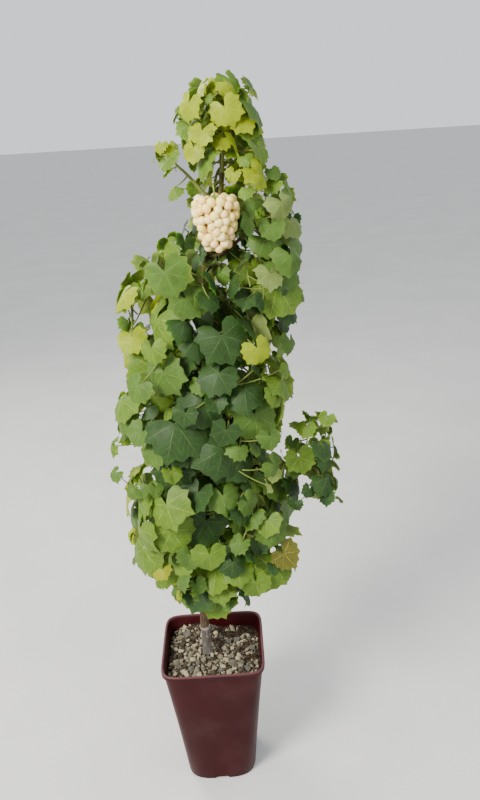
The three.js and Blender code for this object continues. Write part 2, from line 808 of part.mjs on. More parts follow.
addPiece('pot', potSolid(), materials.pot);
addPiece('soil', soilSolid(), materials.soil);
addPiece('trunk', trunkSolid(0), materials.bark);
addPiece('grape_bunch', bunchSolid(), materials.grape);
for (const mass of masses) {
  const material = YOUNG.includes(mass.name) ? materials.youngLeaf : materials.leaf;
  if (mass.bough) addPiece(`bough_${mass.name}`, boughSolid(mass), materials.bark);
  addPiece(`foliage_${mass.name}`, massSolid(mass), material);
}

export default group;
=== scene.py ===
# A young potted grapevine: bark, twigs, leaves, a pale bunch, and a maroon nursery pot
# with pumice grit. Blender works in metres. The growth rule works in millimetres and its
# results are turned to metres as each mesh is made.
import json
import math
from types import SimpleNamespace

import bmesh
import bpy
import numpy as np
from mathutils import Matrix, Vector, noise

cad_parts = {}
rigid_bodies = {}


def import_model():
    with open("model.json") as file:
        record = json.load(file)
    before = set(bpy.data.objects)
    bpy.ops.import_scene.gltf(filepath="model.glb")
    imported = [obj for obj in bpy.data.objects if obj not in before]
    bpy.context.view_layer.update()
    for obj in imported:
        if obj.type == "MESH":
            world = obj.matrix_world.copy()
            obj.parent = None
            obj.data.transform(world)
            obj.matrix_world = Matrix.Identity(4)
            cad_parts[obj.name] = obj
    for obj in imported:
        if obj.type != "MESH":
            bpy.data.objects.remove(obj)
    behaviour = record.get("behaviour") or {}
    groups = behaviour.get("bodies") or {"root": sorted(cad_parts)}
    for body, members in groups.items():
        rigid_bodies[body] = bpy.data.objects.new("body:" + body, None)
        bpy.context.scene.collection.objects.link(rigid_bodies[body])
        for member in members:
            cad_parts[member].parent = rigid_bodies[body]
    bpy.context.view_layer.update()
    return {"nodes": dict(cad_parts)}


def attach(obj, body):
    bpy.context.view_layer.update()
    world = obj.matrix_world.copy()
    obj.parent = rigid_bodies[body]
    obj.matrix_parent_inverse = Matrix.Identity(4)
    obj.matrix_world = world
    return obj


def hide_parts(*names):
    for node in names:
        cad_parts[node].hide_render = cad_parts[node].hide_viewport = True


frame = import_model()

MM = 0.001

# Pot, millimetres
POT_HEIGHT = 281
RIM_HALF = 100
SHOULDER_HALF = 96
BASE_HALF = 70
WALL = 2.6
POT_FLOOR = 3
LIP_HEIGHT = 9
RIM_CORNERS = 8
BASE_CORNERS = 3.4
CORNER_CROWDING = 0.12
POT_SIDES = 112
FOOT_ROUND = 4
LIP_UNDER = 2.2
LIP_OVER = 2.4
LIP_GAP = 2
OUTER_ROWS = (0.12, 0.35, 0.6, 0.85, 1.0)
UNDER_LIP = (1, 12)
INNER_ROWS = (130, 30)
NOTCH_WIDTH = 30
NOTCH_HEIGHT = 9
NOTCH_DEPTH = 10
NOTCH_SIDES = 40

# Trunk, millimetres: its course from the soil to the head, and its radius
SOIL_TOP = 250
GAP = 0.3
TRUNK_COURSE = np.array([
    [-12, 0, SOIL_TOP + GAP],
    [-13, 3, 400],
    [-2, 8, 600],
    [14, 2, 820],
    [34, 4, 1010],
    [74, 2, 1150],
    [80, 4, 1262],
], float)
TRUNK_FOOT_RADIUS = 8.6
TRUNK_TIP_RADIUS = 3.4
FLARE = 3.6
FLARE_LENGTH = 0.035
TRUNK_HALVINGS = 30

# Boughs and the stems inside the masses
BOUGH_RADIUS = 4.2
BOUGH_SHARE = 0.7
BOUGH_TIP_RADIUS = 2.6
BOUGH_REACH = 0.6
BOUGH_RISE = 55
BOUGH_SAG = 0.12
STEM_TIP_RADIUS = 1.6
STEM_STEPS = 5
STEM_NODES = 13
FIRST_NODE = 3
STEM_LEAD = 14
STEM_HEADING = 0.97
STEM_BEYOND = 0.35
STEM_LIFT = (6, 14)

# Crown outline: height, left reach, right reach, and depth to the front and back
CROWN = np.array([
    [366, -58, 34, 58],
    [425, -100, 126, 100],
    [490, -138, 198, 128],
    [600, -144, 204, 135],
    [690, -160, 198, 140],
    [790, -140, 186, 135],
    [885, -118, 194, 130],
    [975, -120, 206, 125],
    [1060, -102, 208, 115],
    [1085, -74, 208, 105],
    [1110, -14, 202, 95],
    [1150, 10, 196, 90],
    [1215, 10, 158, 82],
    [1280, 4, 150, 72],
    [1332, 30, 126, 34],
], float)
CROWN_POWER = 3

# Tiers of foliage, each a mass in front of the trunk and one behind it
TIERS = (
    dict(name="skirt", height=456, turn=-60, leaves=17, size=(72, 100)),
    dict(name="lower", height=625, turn=-120, leaves=19, size=(76, 106)),
    dict(name="middle", height=800, turn=-62, leaves=19, size=(76, 106)),
    dict(name="upper", height=972, turn=-126, leaves=18, size=(72, 100)),
)
SIDES = ("front", "back")
SIDE_REACH = 0.52
SIDE_STEP = 38
REACH_HEIGHT = 1.3

# Masses that stand apart from the tiers
SINGLES = (
    dict(name="shoulder_front", centre=(140, -36, 1098), root=1045, leaves=11, size=(58, 84)),
    dict(name="shoulder_back", centre=(112, 50, 1105), root=1020, leaves=11, size=(58, 84)),
    dict(name="side_shoot", centre=(206, -12, 682), root=596, leaves=9, size=(54, 76),
         reach=(260, 70)),
    dict(name="left_spray", centre=(2, -14, 1196), root=1135, leaves=3, size=(38, 54),
         reach=(-26, 40)),
    dict(name="head_front", centre=(84, -34, 1244), root=1180, leaves=13, size=(52, 76)),
    dict(name="head_back", centre=(76, 34, 1262), root=None, leaves=12, size=(52, 76)),
)

# Leaf outline of the growth rule: angle from the tip, radius as a part of the width
OUTLINE_ANGLES = np.array([0, 27, 52, 104, 148, 180], float)
OUTLINE_RADII = np.array([0.62, 0.47, 0.57, 0.49, 0.40, 0.12])
STALK_LENGTH = (16, 110)
STALK_TURN = 0.35
STALK_STEPS = 12
STALK_FREE_STEPS = 9
STALK_NODE = 0.45
DROP_WEIGHT = 0.3
LEAF_LIFT = (0.05, 1.05)
LEAF_SWAY = 0.6
HANG_OUT = 0.3
HANG_DOWN = 0.9
TURN_SHRINK = 0.1
LEAF_BEND = (0.1, 0.6)

# Growth: clearances, number of tries for a place and of turns at each place. A round's
# margins say how far leaves, junctions and stalks stay within their own mass's space
BLADE_CLEAR = 2
TWIG_CLEAR = 2.2
FIRST_ROUND = dict(size=1, spacing=24, clear=9, swing=1.2, fold=(-0.2, 0.25), margin=0.7,
                   junction_margin=6, stalk_margin=TWIG_CLEAR, floor=CROWN[0, 0])
CROWN_SPREAD = 0.9
REACH_SPREAD = 1.2
HEIGHT_SPREAD = 110
OFF_MIDDLE = 0.01
NEAR_LEAVES = 0.62
BLADE_RINGS = 4
TRIES = 4000
TURNS = 5
FIRST_SEED = 19
SEED_STEP = 101
TRUNK_BALLS = 160
BOUGH_BALLS = 40
BUNCH_BALLS = 10

# Finer growth: rounds of smaller leaves between the first ones, on finer twigs, that may
# reach over into the spaces beside their own. They keep above a floor and off a bare spray
FINER_ROUNDS = (
    dict(share=0.85, size=0.9, spacing=18, clear=5, over=26, tries=2600, swing=1.5,
         fold=(-0.3, 0.45)),
    dict(share=0.8, size=0.74, spacing=14, clear=3, over=30, tries=2200, swing=1.9,
         fold=(-0.35, 0.6)),
    dict(share=0.8, size=0.52, spacing=11, clear=2, over=30, tries=1800, swing=2.2,
         fold=(-0.4, 0.7)),
)
FINER_FLOOR = 396
FINER_SEED = 5003
BARE_SPRAYS = ("left_spray",)
FAR_APART = 260
BOUGH_NODES = (0.15, 0.4, 0.65, 0.9)
TRUNK_NODES = (-40, -12, 16, 44)
NODES_ROUND = 4
NODE_CLEAR = 2.5

# Bunch of grapes
BUNCH_TOP = np.array([64, -42, 1151], float)
BUNCH_HEIGHT = 92
BUNCH_HALF_WIDTH = 40
BUNCH_HALF_DEPTH = 31
BUNCH_PROFILE = np.array([[0, 0.8], [0.16, 1], [0.45, 0.9], [0.75, 0.68], [1, 0.4]])
PEDUNCLE_ROOT = 1168
PEDUNCLE_BEND = (0, 6, 14)
BUNCH_CLEAR = 37
CLEAR_TOP = 25
CLEAR_HEIGHT = 50
SIGHT_LINE = (0, 40, 80)
SIGHT_TOP = 12
SIGHT_HEIGHT = 72
SIGHT_SHARE = 0.9

# Bare neck of the trunk above the bunch, that foliage leaves in view
NECK = (1160, 1212)
NECK_CLEAR = 15

DEGREE = math.pi / 180
FULL_TURN = 2 * math.pi


class Chance:
    """Seeded chance: the same sequence on every run."""

    def __init__(self, seed):
        self.state = seed

    def draw(self):
        self.state = (self.state * 1664525 + 1013904223) % 2**32
        return self.state / 2**32

    def between(self, low, high):
        return low + (high - low) * self.draw()


def length(a):
    return math.sqrt(float(np.dot(a, a)))


def unit(a):
    return a / length(a)


def mix(a, b, t):
    return a * (1 - t) + b * t


def on_course(places, t):
    """Point on a smooth course through the given places, t from 0 to 1."""
    spans = len(places) - 1
    span = min(int(t * spans), spans - 1)
    u = t * spans - span
    b, c = places[span], places[span + 1]
    a = places[span - 1] if span > 0 else 2 * b - c
    d = places[span + 2] if span < spans - 1 else 2 * c - b
    linear = c - a
    square = 2 * a - 5 * b + 4 * c - d
    cube = 3 * b - 3 * c + d - a
    return b + 0.5 * u * (linear + u * (square + u * cube))


def course_points(places, shares):
    return np.array([on_course(places, t) for t in shares])


def trunk_at(height):
    """Where the trunk passes a height, and how far along its course that is."""
    low, high = 0, 1
    for _ in range(TRUNK_HALVINGS):
        middle = (low + high) / 2
        if on_course(TRUNK_COURSE, middle)[2] < height:
            low = middle
        else:
            high = middle
    return low, on_course(TRUNK_COURSE, low)


def trunk_radius(t):
    flare = FLARE * math.exp(-t / FLARE_LENGTH)
    return TRUNK_FOOT_RADIUS + (TRUNK_TIP_RADIUS - TRUNK_FOOT_RADIUS) * t + flare


def crown_at(height):
    left, right, depth = (np.interp(height, CROWN[:, 0], CROWN[:, k]) for k in (1, 2, 3))
    return (left + right) / 2, (right - left) / 2, depth


def list_masses():
    made = []
    for tier in TIERS:
        for index, side in enumerate(SIDES):
            angle = (tier["turn"] + 360 / len(SIDES) * index) * DEGREE
            height = tier["height"] + SIDE_STEP * (index - 0.5)
            middle, half, depth = crown_at(height)
            centre = (
                middle + SIDE_REACH * half * math.cos(angle),
                SIDE_REACH * depth * math.sin(angle),
                height,
            )
            made.append(dict(
                name=f"{tier['name']}_{side}", centre=centre, root=height - BOUGH_RISE,
                leaves=tier["leaves"], size=tier["size"],
            ))
    made.extend(SINGLES)
    return [SimpleNamespace(**{"reach": None, **mass}) for mass in made]


masses = list_masses()
for mass in masses:
    mass.centre = np.array(mass.centre, float)
for mass in masses:
    across = np.array([other.centre - mass.centre for other in masses if other is not mass])
    far = np.linalg.norm(across, axis=1)
    mass.walls = (across / far[:, None]).T
    mass.wall_places = far / 2


def in_cell(mass, points, margin):
    """A mass's own space holds what is nearer to its middle than to any other."""
    return ((points - mass.centre) @ mass.walls <= mass.wall_places - margin).all(-1)


def in_crown(mass, points):
    x, y, z = points[..., 0], points[..., 1], points[..., 2]
    inside = (z >= CROWN[0, 0]) & (z <= CROWN[-1, 0])
    if mass.reach:
        tip, aside = mass.reach
        away = np.abs(points - mass.centre)
        limits = np.array([abs(tip - mass.centre[0]), aside, REACH_HEIGHT * aside])
        return inside & (away < limits).all(-1)
    middle, half, depth = crown_at(z)
    across = np.abs((x - middle) / half)
    deep = np.abs(y) / depth
    return inside & (across**CROWN_POWER + deep**CROWN_POWER < 1)


# Limbs and the bunch as rows of balls that foliage keeps clear of
ball_places, ball_radii = [], []


def add_balls(course, radius_at, steps):
    for step in range(steps + 1):
        ball_places.append(course(step / steps))
        ball_radii.append(radius_at(step / steps))


def is_clear(points, clearance):
    away = points[:, None] - balls.places
    return bool(((away**2).sum(-1) >= (balls.radii + clearance) ** 2).all())


def bough_radius(mass, t):
    root_radius = min(BOUGH_RADIUS, trunk_radius(trunk_at(mass.root)[0]) * BOUGH_SHARE)
    return root_radius + (BOUGH_TIP_RADIUS - root_radius) * t


def plan_bough(mass):
    root = trunk_at(mass.root)[1]
    tip = mix(root, mass.centre, BOUGH_REACH)
    bend = mix(root, tip, 0.5)
    bend[2] -= BOUGH_SAG * length(tip - root)
    return np.array([root, bend, tip])


def plan_stem(mass):
    """The stem starts at its bough's tip, or at the trunk's, and bends up through its mass."""
    course = TRUNK_COURSE if mass.bough is None else mass.bough
    start = course[-1]
    heading = unit(start - on_course(course, STEM_HEADING))
    middle = mass.centre + [0, 0, STEM_LIFT[0]]
    last = mass.centre + (mass.centre - start) * STEM_BEYOND + [0, 0, STEM_LIFT[1]]
    return np.array([start + heading * GAP, start + heading * STEM_LEAD, middle, last])


def on_stem(stem, t):
    """A point on the stem's straight internodes, t from 0 to 1."""
    span = min(int(t * STEM_STEPS), STEM_STEPS - 1)
    start = on_course(stem, span / STEM_STEPS)
    return mix(start, on_course(stem, (span + 1) / STEM_STEPS), t * STEM_STEPS - span)


def rim_samples():
    """Points of the outline and halfway between them, all the way round but the sinus."""
    angles = list(OUTLINE_ANGLES) + [-a for a in OUTLINE_ANGLES[-2:0:-1]]
    radii = list(OUTLINE_RADII) + list(OUTLINE_RADII[-2:0:-1])
    rim = []
    for at, (angle, radius) in enumerate(zip(angles, radii)):
        after = (at + 1) % len(angles)
        rim.append((angle, radius))
        if abs(angles[after] - angle) < 180:
            rim.append(((angle + angles[after]) / 2, (radius + radii[after]) / 2))
    return np.array(rim)


RIM = rim_samples()
SHARES = np.repeat(np.arange(BLADE_RINGS, 0, -1) / BLADE_RINGS, len(RIM))
SAMPLE_RADII = np.tile(RIM[:, 1], BLADE_RINGS) * SHARES
SAMPLE_X = SAMPLE_RADII * np.sin(np.tile(RIM[:, 0], BLADE_RINGS) * DEGREE)
SAMPLE_Y = SAMPLE_RADII * np.cos(np.tile(RIM[:, 0], BLADE_RINGS) * DEGREE)
BLADE_PARTS = ("junction", "axes", "width", "fold", "bend")
LEAF_PARTS = (*BLADE_PARTS, "samples", "stalk")


def rise_at(x, y, fold, bend, width):
    """How far a blade lies off its junction's plane: folded up and bent down."""
    return fold * np.abs(x) - bend * (x * x + y * y) / width


def blade_samples(leaf):
    x, y = SAMPLE_X * leaf.width, SAMPLE_Y * leaf.width
    rise = rise_at(x, y, leaf.fold, leaf.bend, leaf.width)
    return leaf.junction + np.stack([x, y, rise], 1) @ leaf.axes.T


def crosses(points, blades):
    """Whether rows of points pass through the blades beside them, or come too near."""
    local = (points - blades.junction[:, None]) @ blades.axes
    x, y = local[..., 0], local[..., 1]
    width = blades.width[:, None]
    angle = np.abs(np.arctan2(x, y)) / DEGREE
    edge = width * np.interp(angle, OUTLINE_ANGLES, OUTLINE_RADII)
    over = np.hypot(x, y) <= edge + BLADE_CLEAR
    height = local[..., 2] - rise_at(x, y, blades.fold[:, None], blades.bend[:, None], width)
    near = (over & (np.abs(height) < BLADE_CLEAR)).any(1)
    return near | ((over & (height > 0)).any(1) & (over & (height <= 0)).any(1))


def as_blades(leaves, names=LEAF_PARTS):
    """Leaves as arrays, so that a new one is tried against all of them at once."""
    return SimpleNamespace(**{
        name: np.array([getattr(leaf, name) for leaf in leaves]) for name in names
    })


def near_blades(blades, junction, width):
    far = np.linalg.norm(blades.junction - junction, axis=1)
    chosen = far <= (blades.width + width) * NEAR_LEAVES
    return SimpleNamespace(**{name: value[chosen] for name, value in vars(blades).items()})


def leaf_fits(mass, leaf, blades, rule):
    samples = blade_samples(leaf)
    rim = samples[:len(RIM)]
    if not (in_cell(mass, rim, rule.margin).all() and in_crown(mass, rim).all()):
        return False
    if rim[:, 2].min() < rule.floor:
        return False
    if not is_clear(samples, rule.clear):
        return False
    leaf.samples = samples
    if blades is not None:
        others = near_blades(blades, leaf.junction, leaf.width)
        if len(others.width):
            own = as_blades([leaf])
            if (crosses(own.samples, others) | crosses(others.samples, own)).any():
                return False
            if (crosses(others.stalk, own) | crosses(own.stalk, others)).any():
                return False
    return True


def blade_axes(normal, hang):
    """A blade's axes: across it, along it towards its hanging tip, and off its upper side."""
    along = unit(hang - normal * np.dot(hang, normal))
    return np.stack([np.cross(along, normal), along, normal], 1)


def turn_leaf(chance, mass, rule, junction, stalk, outward, turn):
    """One turn of a leaf at a place; later turns at the same place are smaller."""
    swing = chance.between(-rule.swing, rule.swing)
    lift = chance.between(*LEAF_LIFT)
    sway = chance.between(-LEAF_SWAY, LEAF_SWAY)
    full = chance.between(*mass.size) * rule.size
    facing = (
        outward[0] * math.cos(swing) - outward[1] * math.sin(swing),
        outward[1] * math.cos(swing) + outward[0] * math.sin(swing),
    )
    normal = unit(np.array([facing[0], facing[1], lift]))
    hang = np.array([
        HANG_OUT * facing[0] - sway * facing[1],
        HANG_OUT * facing[1] + sway * facing[0],
        -HANG_DOWN,
    ])
    leaf = SimpleNamespace(junction=junction, stalk=stalk, axes=blade_axes(normal, hang),
                           width=full * (1 - TURN_SHRINK * turn))
    leaf.bend = chance.between(*LEAF_BEND)
    leaf.fold = chance.between(*rule.fold)
    return leaf


def rings_round(path, radii, sides):
    """Points round a path: one ring at each of its places, with a radius for each point."""
    path = np.asarray(path, float)
    ahead = np.gradient(path, axis=0)
    ahead /= np.linalg.norm(ahead, axis=1)[:, None]
    start = np.cross(ahead[0], [0, 1, 0] if abs(ahead[0][1]) < 0.9 else [1, 0, 0])
    aside = [unit(start)]
    for direction in ahead[1:]:
        aside.append(unit(aside[-1] - direction * np.dot(aside[-1], direction)))
    aside = np.array(aside)
    around = np.cross(ahead, aside)
    angles = np.arange(sides) * FULL_TURN / sides
    turned = (
        aside[:, None] * np.cos(angles)[None, :, None]
        + around[:, None] * np.sin(angles)[None, :, None]
    )
    radii = np.asarray(radii, float).reshape(len(path), -1)
    return path[:, None] + turned * radii[:, :, None]


def new_node(place, leaf=None, base=None):
    return SimpleNamespace(place=place, taken=False, leaf=leaf, base=base)


def nearest_node(nodes, junction):
    """The free node nearest to a junction, counting a drop from it as farther."""
    places = np.array([node.place for node in nodes])
    away = np.sqrt(((places - junction) ** 2).sum(1))
    away = away + DROP_WEIGHT * np.maximum(0, places[:, 2] - junction[2])
    away[[node.taken for node in nodes]] = np.inf
    return nodes[int(np.argmin(away))]


def try_leaf(chance, mass, rule, nodes, blades):
    """One try at a leaf: a place for its junction, a free node, then its turns."""
    _, half, depth = crown_at(mass.centre[2])
    if mass.reach:
        spread = abs(mass.reach[0] - mass.centre[0]) * REACH_SPREAD
    else:
        spread = half * CROWN_SPREAD
    deep = min(depth, spread) * CROWN_SPREAD
    limits = (spread, deep, HEIGHT_SPREAD)
    junction = mass.centre + [chance.between(-limit, limit) for limit in limits]
    if not (in_cell(mass, junction, rule.junction_margin) and in_crown(mass, junction)):
        return None
    if blades is not None:
        if ((blades.junction - junction) ** 2).sum(1).min() < rule.spacing**2:
            return None
    node = nearest_node(nodes, junction)
    reach = length(node.place - junction)
    if reach < STALK_LENGTH[0] or reach > STALK_LENGTH[1]:
        return None
    steps = np.arange(STALK_STEPS + 1)[:, None] / STALK_STEPS
    stalk = mix(node.place, junction, steps)
    if not (in_cell(mass, stalk, rule.stalk_margin).all() and is_clear(stalk, TWIG_CLEAR)):
        return None
    heading = unit(junction - node.place)
    middle, half, depth = crown_at(junction[2])
    outward = unit(np.array([(junction[0] - middle) / half + OFF_MIDDLE, junction[1] / depth]))
    for turn in range(TURNS):
        leaf = turn_leaf(chance, mass, rule, junction, stalk, outward, turn)
        if np.dot(heading, unit(leaf.axes[:, 2] + leaf.axes[:, 1])) < STALK_TURN:
            continue
        if crosses(stalk[None, :STALK_FREE_STEPS], as_blades([leaf], BLADE_PARTS))[0]:
            continue
        if leaf_fits(mass, leaf, blades, rule):
            node.taken = True
            leaf.parent = node.leaf
            leaf.base = node.base
            return leaf
    return None


def grow(chance, mass, rule, wanted, tries, others):
    """Adds up to the wanted number of leaves to a mass, clear of the others."""
    known = list(others) + mass.leaves_grown
    blades = as_blades(known) if known else None
    for _ in range(tries):
        if wanted == 0:
            break
        leaf = try_leaf(chance, mass, rule, mass.nodes, blades)
        if leaf is not None:
            leaf.mass = mass
            mass.leaves_grown.append(leaf)
            known.append(leaf)
            blades = as_blades(known)
            mass.nodes.append(new_node(mix(leaf.stalk[0], leaf.junction, STALK_NODE), leaf))
            wanted -= 1


def add_limb_nodes(mass):
    """Nodes on a mass's bough and on the trunk beside it, for short side twigs. Each keeps
    the middle of its limb, where its twig starts."""
    if mass.bough is None:
        return
    shares, places = zip(*(trunk_at(mass.root + rise) for rise in TRUNK_NODES))
    for path, radii in (
        (course_points(mass.bough, BOUGH_NODES), [bough_radius(mass, t) for t in BOUGH_NODES]),
        (np.array(places), [trunk_radius(t) for t in shares]),
    ):
        for base, ring in zip(path, rings_round(path, np.add(radii, NODE_CLEAR), NODES_ROUND)):
            mass.nodes += [new_node(place, base=base) for place in ring]


def plan_limbs():
    add_balls(lambda t: on_course(TRUNK_COURSE, t), trunk_radius, TRUNK_BALLS)
    for mass in masses:
        mass.bough = None
        if mass.root:
            mass.bough = plan_bough(mass)
            add_balls(
                lambda t: on_course(mass.bough, t), lambda t: bough_radius(mass, t), BOUGH_BALLS,
            )
        mass.stem = plan_stem(mass)
    for forward in SIGHT_LINE:
        bottom, top = (trunk_at(height)[1] - [0, forward, 0] for height in NECK)
        add_balls(lambda t: mix(top, bottom, t), lambda t: NECK_CLEAR, BUNCH_BALLS)


def balls_with_sight(finer):
    """All the balls, with those that keep the bunch in view. The finer leaves may come
    close under it, so for them this space narrows with the bunch."""
    places, radii = list(ball_places), list(ball_radii)
    clear_top, clear_height = (SIGHT_TOP, SIGHT_HEIGHT) if finer else (CLEAR_TOP, CLEAR_HEIGHT)
    for forward in SIGHT_LINE:
        for step in range(BUNCH_BALLS + 1):
            down = clear_top + clear_height * step / BUNCH_BALLS
            share = np.interp(down / BUNCH_HEIGHT, BUNCH_PROFILE[:, 0], BUNCH_PROFILE[:, 1])
            places.append(BUNCH_TOP - [0, forward, down])
            radii.append(BUNCH_HALF_WIDTH * share * SIGHT_SHARE if finer else BUNCH_CLEAR)
    return SimpleNamespace(places=np.array(places), radii=np.array(radii))


def grow_all():
    global balls
    balls = balls_with_sight(False)
    first = SimpleNamespace(**FIRST_ROUND)
    for index, mass in enumerate(masses):
        mass.leaves_grown = []
        mass.nodes = [
            new_node(on_stem(mass.stem, step / STEM_NODES))
            for step in range(FIRST_NODE, STEM_NODES + 1)
        ]
        grow(Chance(FIRST_SEED + SEED_STEP * index), mass, first, mass.leaves, TRIES, [])
    balls = balls_with_sight(True)
    for mass in masses:
        add_limb_nodes(mass)
    for number, finer in enumerate(FINER_ROUNDS):
        over = finer["over"]
        rule = SimpleNamespace(**finer, margin=-over, junction_margin=-over / 2,
                               stalk_margin=-over / 2, floor=FINER_FLOOR)
        for index, mass in enumerate(masses):
            others = [
                leaf for other in masses if other is not mass for leaf in other.leaves_grown
                if length(leaf.junction - mass.centre) < FAR_APART
            ]
            chance = Chance(FINER_SEED + SEED_STEP * (index + number * len(masses)))
            wanted = 0 if mass.name in BARE_SPRAYS else round(mass.leaves * rule.share)
            grow(chance, mass, rule, wanted, rule.tries, others)


plan_limbs()
grow_all()

# Detailed leaf: rays from the junction, numbered from the tip to either side. Even rays end
# in teeth and odd ones in notches, and every fourth ray but the last is a main vein that
# ends in a lobe. The radii are parts of the leaf's width
RAY_TURN = 13.1 * DEGREE
LAST_RAY = 12
RAYS_PER_LOBE = 4
LOBED = np.array([0.66, 0.56, 0.5, 0.53, 0.61, 0.53, 0.48, 0.5, 0.56, 0.49, 0.46, 0.42, 0.3])
ROUNDED = np.array([0.62, 0.59, 0.58, 0.57, 0.6, 0.56, 0.55, 0.54, 0.56, 0.52, 0.5, 0.45, 0.3])
RING = 0.38
VEIN_RAYS = (-8, -4, 0, 4, 8)
VEIN_HALF = 0.1
TOOTH = 0.05
QUILT = 0.035
RIPPLE = 0.045
RIPPLES = 5
SLOW_RIPPLES = 2.7
SLOW_SHARE = 0.6
UNEVEN_TEETH = 0.6
TEETH_TURN = 2.3
BLADE_THICKNESS = 0.5
VEINS_END = 2.2
VEINS_FADE = 0.15
SIDE_VEIN_STEP = 0.105
SIDE_VEIN_SLANT = 0.85
SIDE_VEIN_WIDTH = 0.11
VEIN_SINK = 0.35

# Twigs, millimetres
PETIOLE_RADII = (1.3, 0.8)
PETIOLE_SAG = 0.07
PETIOLE_SIDES = 6
PETIOLE_STEPS = 7
STEM_SIDES = 8
STEM_RINGS = 40
NODE_SWELLING = 0.35
NODE_SHARPNESS = 0.01
SHOOT_RADIUS = 0.9
SHOOT_SAG = 0.1
SHOOT_STEPS = 5
SHOOT_SIDES = 5
TENDRIL_RADIUS = 0.55
TENDRIL_THINNING = 0.45
TENDRIL_STEPS = 34
TENDRIL_LIMITS = ((26, 52), (3.5, 6.5), (1.2, 2.4))
TENDRIL_RISE = 10
CURL_TIGHTENING = 0.6
CURL_DRIFT = (5, 3)
TENDRILS_PER_MASS = 3
TENDRILS_FROM = 0.3
TIP_LEAVES = 5
TIP_LEAVES_FROM = 0.82
TIP_AWAY = (9, 20)
TIP_LIFT = (-0.2, 1.0)
TIP_SIZE = (14, 30)
TIP_SHOOT_END = 0.6
TIP_SWAY = (-0.5, 0.5)
TIP_BEND = (0.2, 0.7)
TIP_FOLD = (0.1, 0.6)
DRESS_SEED = 31

# Angles between faces, in degrees, over which an edge is sharp
TWIGS_SHARP = 50
SMOOTH_UP_TO = 60
POT_SHARP = 40
GRIT_SHARP = 30
BERRY_SHARP = 80

# Bark, millimetres
BARK_SIDES = 40
BARK_STEP = 3
BOUGH_BARK_SIDES = 16
BOUGH_BARK_STEPS = 48
BARK_RELIEF = 0.9
BARK_SHARE = 0.88
BARK_FINENESS = 2.6
BOUGH_FINENESS = 1.6
BOUGH_RELIEF = 0.35
RELIEF_SHARES = (0.35, 0.65)
RELIEF_FADE = 500
RIDGE_LEVEL = 0.55
RIDGE_LENGTH = 45
CRACK_LENGTH = 30
CRACKS_FINER = 1.9
CRACKS_APART = 7.3
CRACK_WIDTH = 0.3
CRACK_DEPTH = 1.6
GRAFT_HEIGHT = 318
GRAFT_SWELLING = 1.0
GRAFT_LENGTH = 9
GRAFT_EDGES = (-4, 10)
NODE_EVERY = 74
NODE_BULGE = 0.9
NODE_LENGTH = 0.07
NODES_OVER_GRAFT = 40
COLLAR = 1.3
COLLAR_LENGTH = 0.12
GREEN_FROM = 1100


def tone(red, green, blue):
    """A colour given as screen values, 0 to 255, in the linear values that shaders take."""
    screen = np.array([red, green, blue]) / 255
    linear = np.where(screen <= 0.04045, screen / 12.92, ((screen + 0.055) / 1.055) ** 2.4)
    return (*linear.tolist(), 1.0)


def tones(pair):
    return [tone(*screen) for screen in pair]


def shade(colour, factor):
    return tuple(min(value * factor, 1.0) for value in colour[:3]) + (1.0,)


def add_object(name, data):
    made = bpy.data.objects.new(name, data)
    bpy.context.scene.collection.objects.link(made)
    return made


def add_piece(name, mesh, sharp):
    """An object of a mesh, shaded smooth up to an angle."""
    mesh.shade_smooth()
    mesh.set_sharp_from_angle(angle=sharp * DEGREE)
    return add_object(name, mesh)


def work_to_mesh(work, name):
    mesh = bpy.data.meshes.new(name)
    work.to_mesh(mesh)
    work.free()
    return mesh


def work_to_shape(work):
    """A worked mesh as points and faces, for a heap."""
    work.verts.index_update()
    points = np.array([vert.co for vert in work.verts])
    faces = [[vert.index for vert in face.verts] for face in work.faces]
    work.free()
    return points, faces


def close_rims(work):
    rims = [edge for edge in work.edges if edge.is_boundary]
    bmesh.ops.holes_fill(work, edges=rims, sides=0)


def closed_piece(work, name, material):
    """A piece of a worked mesh, its open rims filled and its faces turned outwards."""
    close_rims(work)
    bmesh.ops.recalc_face_normals(work, faces=work.faces)
    mesh = work_to_mesh(work, name)
    mesh.materials.append(material)
    return add_piece(name, mesh, SMOOTH_UP_TO)


class Heap:
    """Many small things gathered into the arrays of one mesh."""

    def __init__(self):
        self.points, self.faces, self.slots, self.maps = [], [], [], []
        self.count = 0
        self.materials = {}

    def add(self, points, faces, materials, shape=None):
        """Adds a thing, with one material or a list that gives each face its own."""
        each = materials if isinstance(materials, list) else [materials] * len(faces)
        for face, material in zip(faces, each):
            self.faces.append([index + self.count for index in face])
            self.slots.append(self.materials.setdefault(material, len(self.materials)))
        self.points.append(points)
        self.maps.append(np.zeros((len(points), 2)) if shape is None else shape)
        self.count += len(points)

    def piece(self, name, sharp=TWIGS_SHARP):
        mesh = bpy.data.meshes.new(name)
        points = np.concatenate(self.points) * MM
        mesh.from_pydata(points.tolist(), [], self.faces)
        mesh.polygons.foreach_set("material_index", self.slots)
        corners = np.empty(len(mesh.loops), np.int32)
        mesh.loops.foreach_get("vertex_index", corners)
        layer = mesh.uv_layers.new(name="shape")
        layer.data.foreach_set("uv", np.concatenate(self.maps)[corners].ravel())
        for material in self.materials:
            mesh.materials.append(material)
        return add_piece(name, mesh, sharp)


def tube(path, radii, sides):
    """A thin twig as points and faces, closed at both ends."""
    points = rings_round(path, radii, sides).reshape(-1, 3)
    last = len(points) - sides
    faces = [
        (low + side, low + (side + 1) % sides, low + sides + (side + 1) % sides,
         low + sides + side)
        for low in range(0, last, sides) for side in range(sides)
    ]
    faces.append(tuple(range(sides - 1, -1, -1)))
    faces.append(tuple(range(last, last + sides)))
    return points, faces


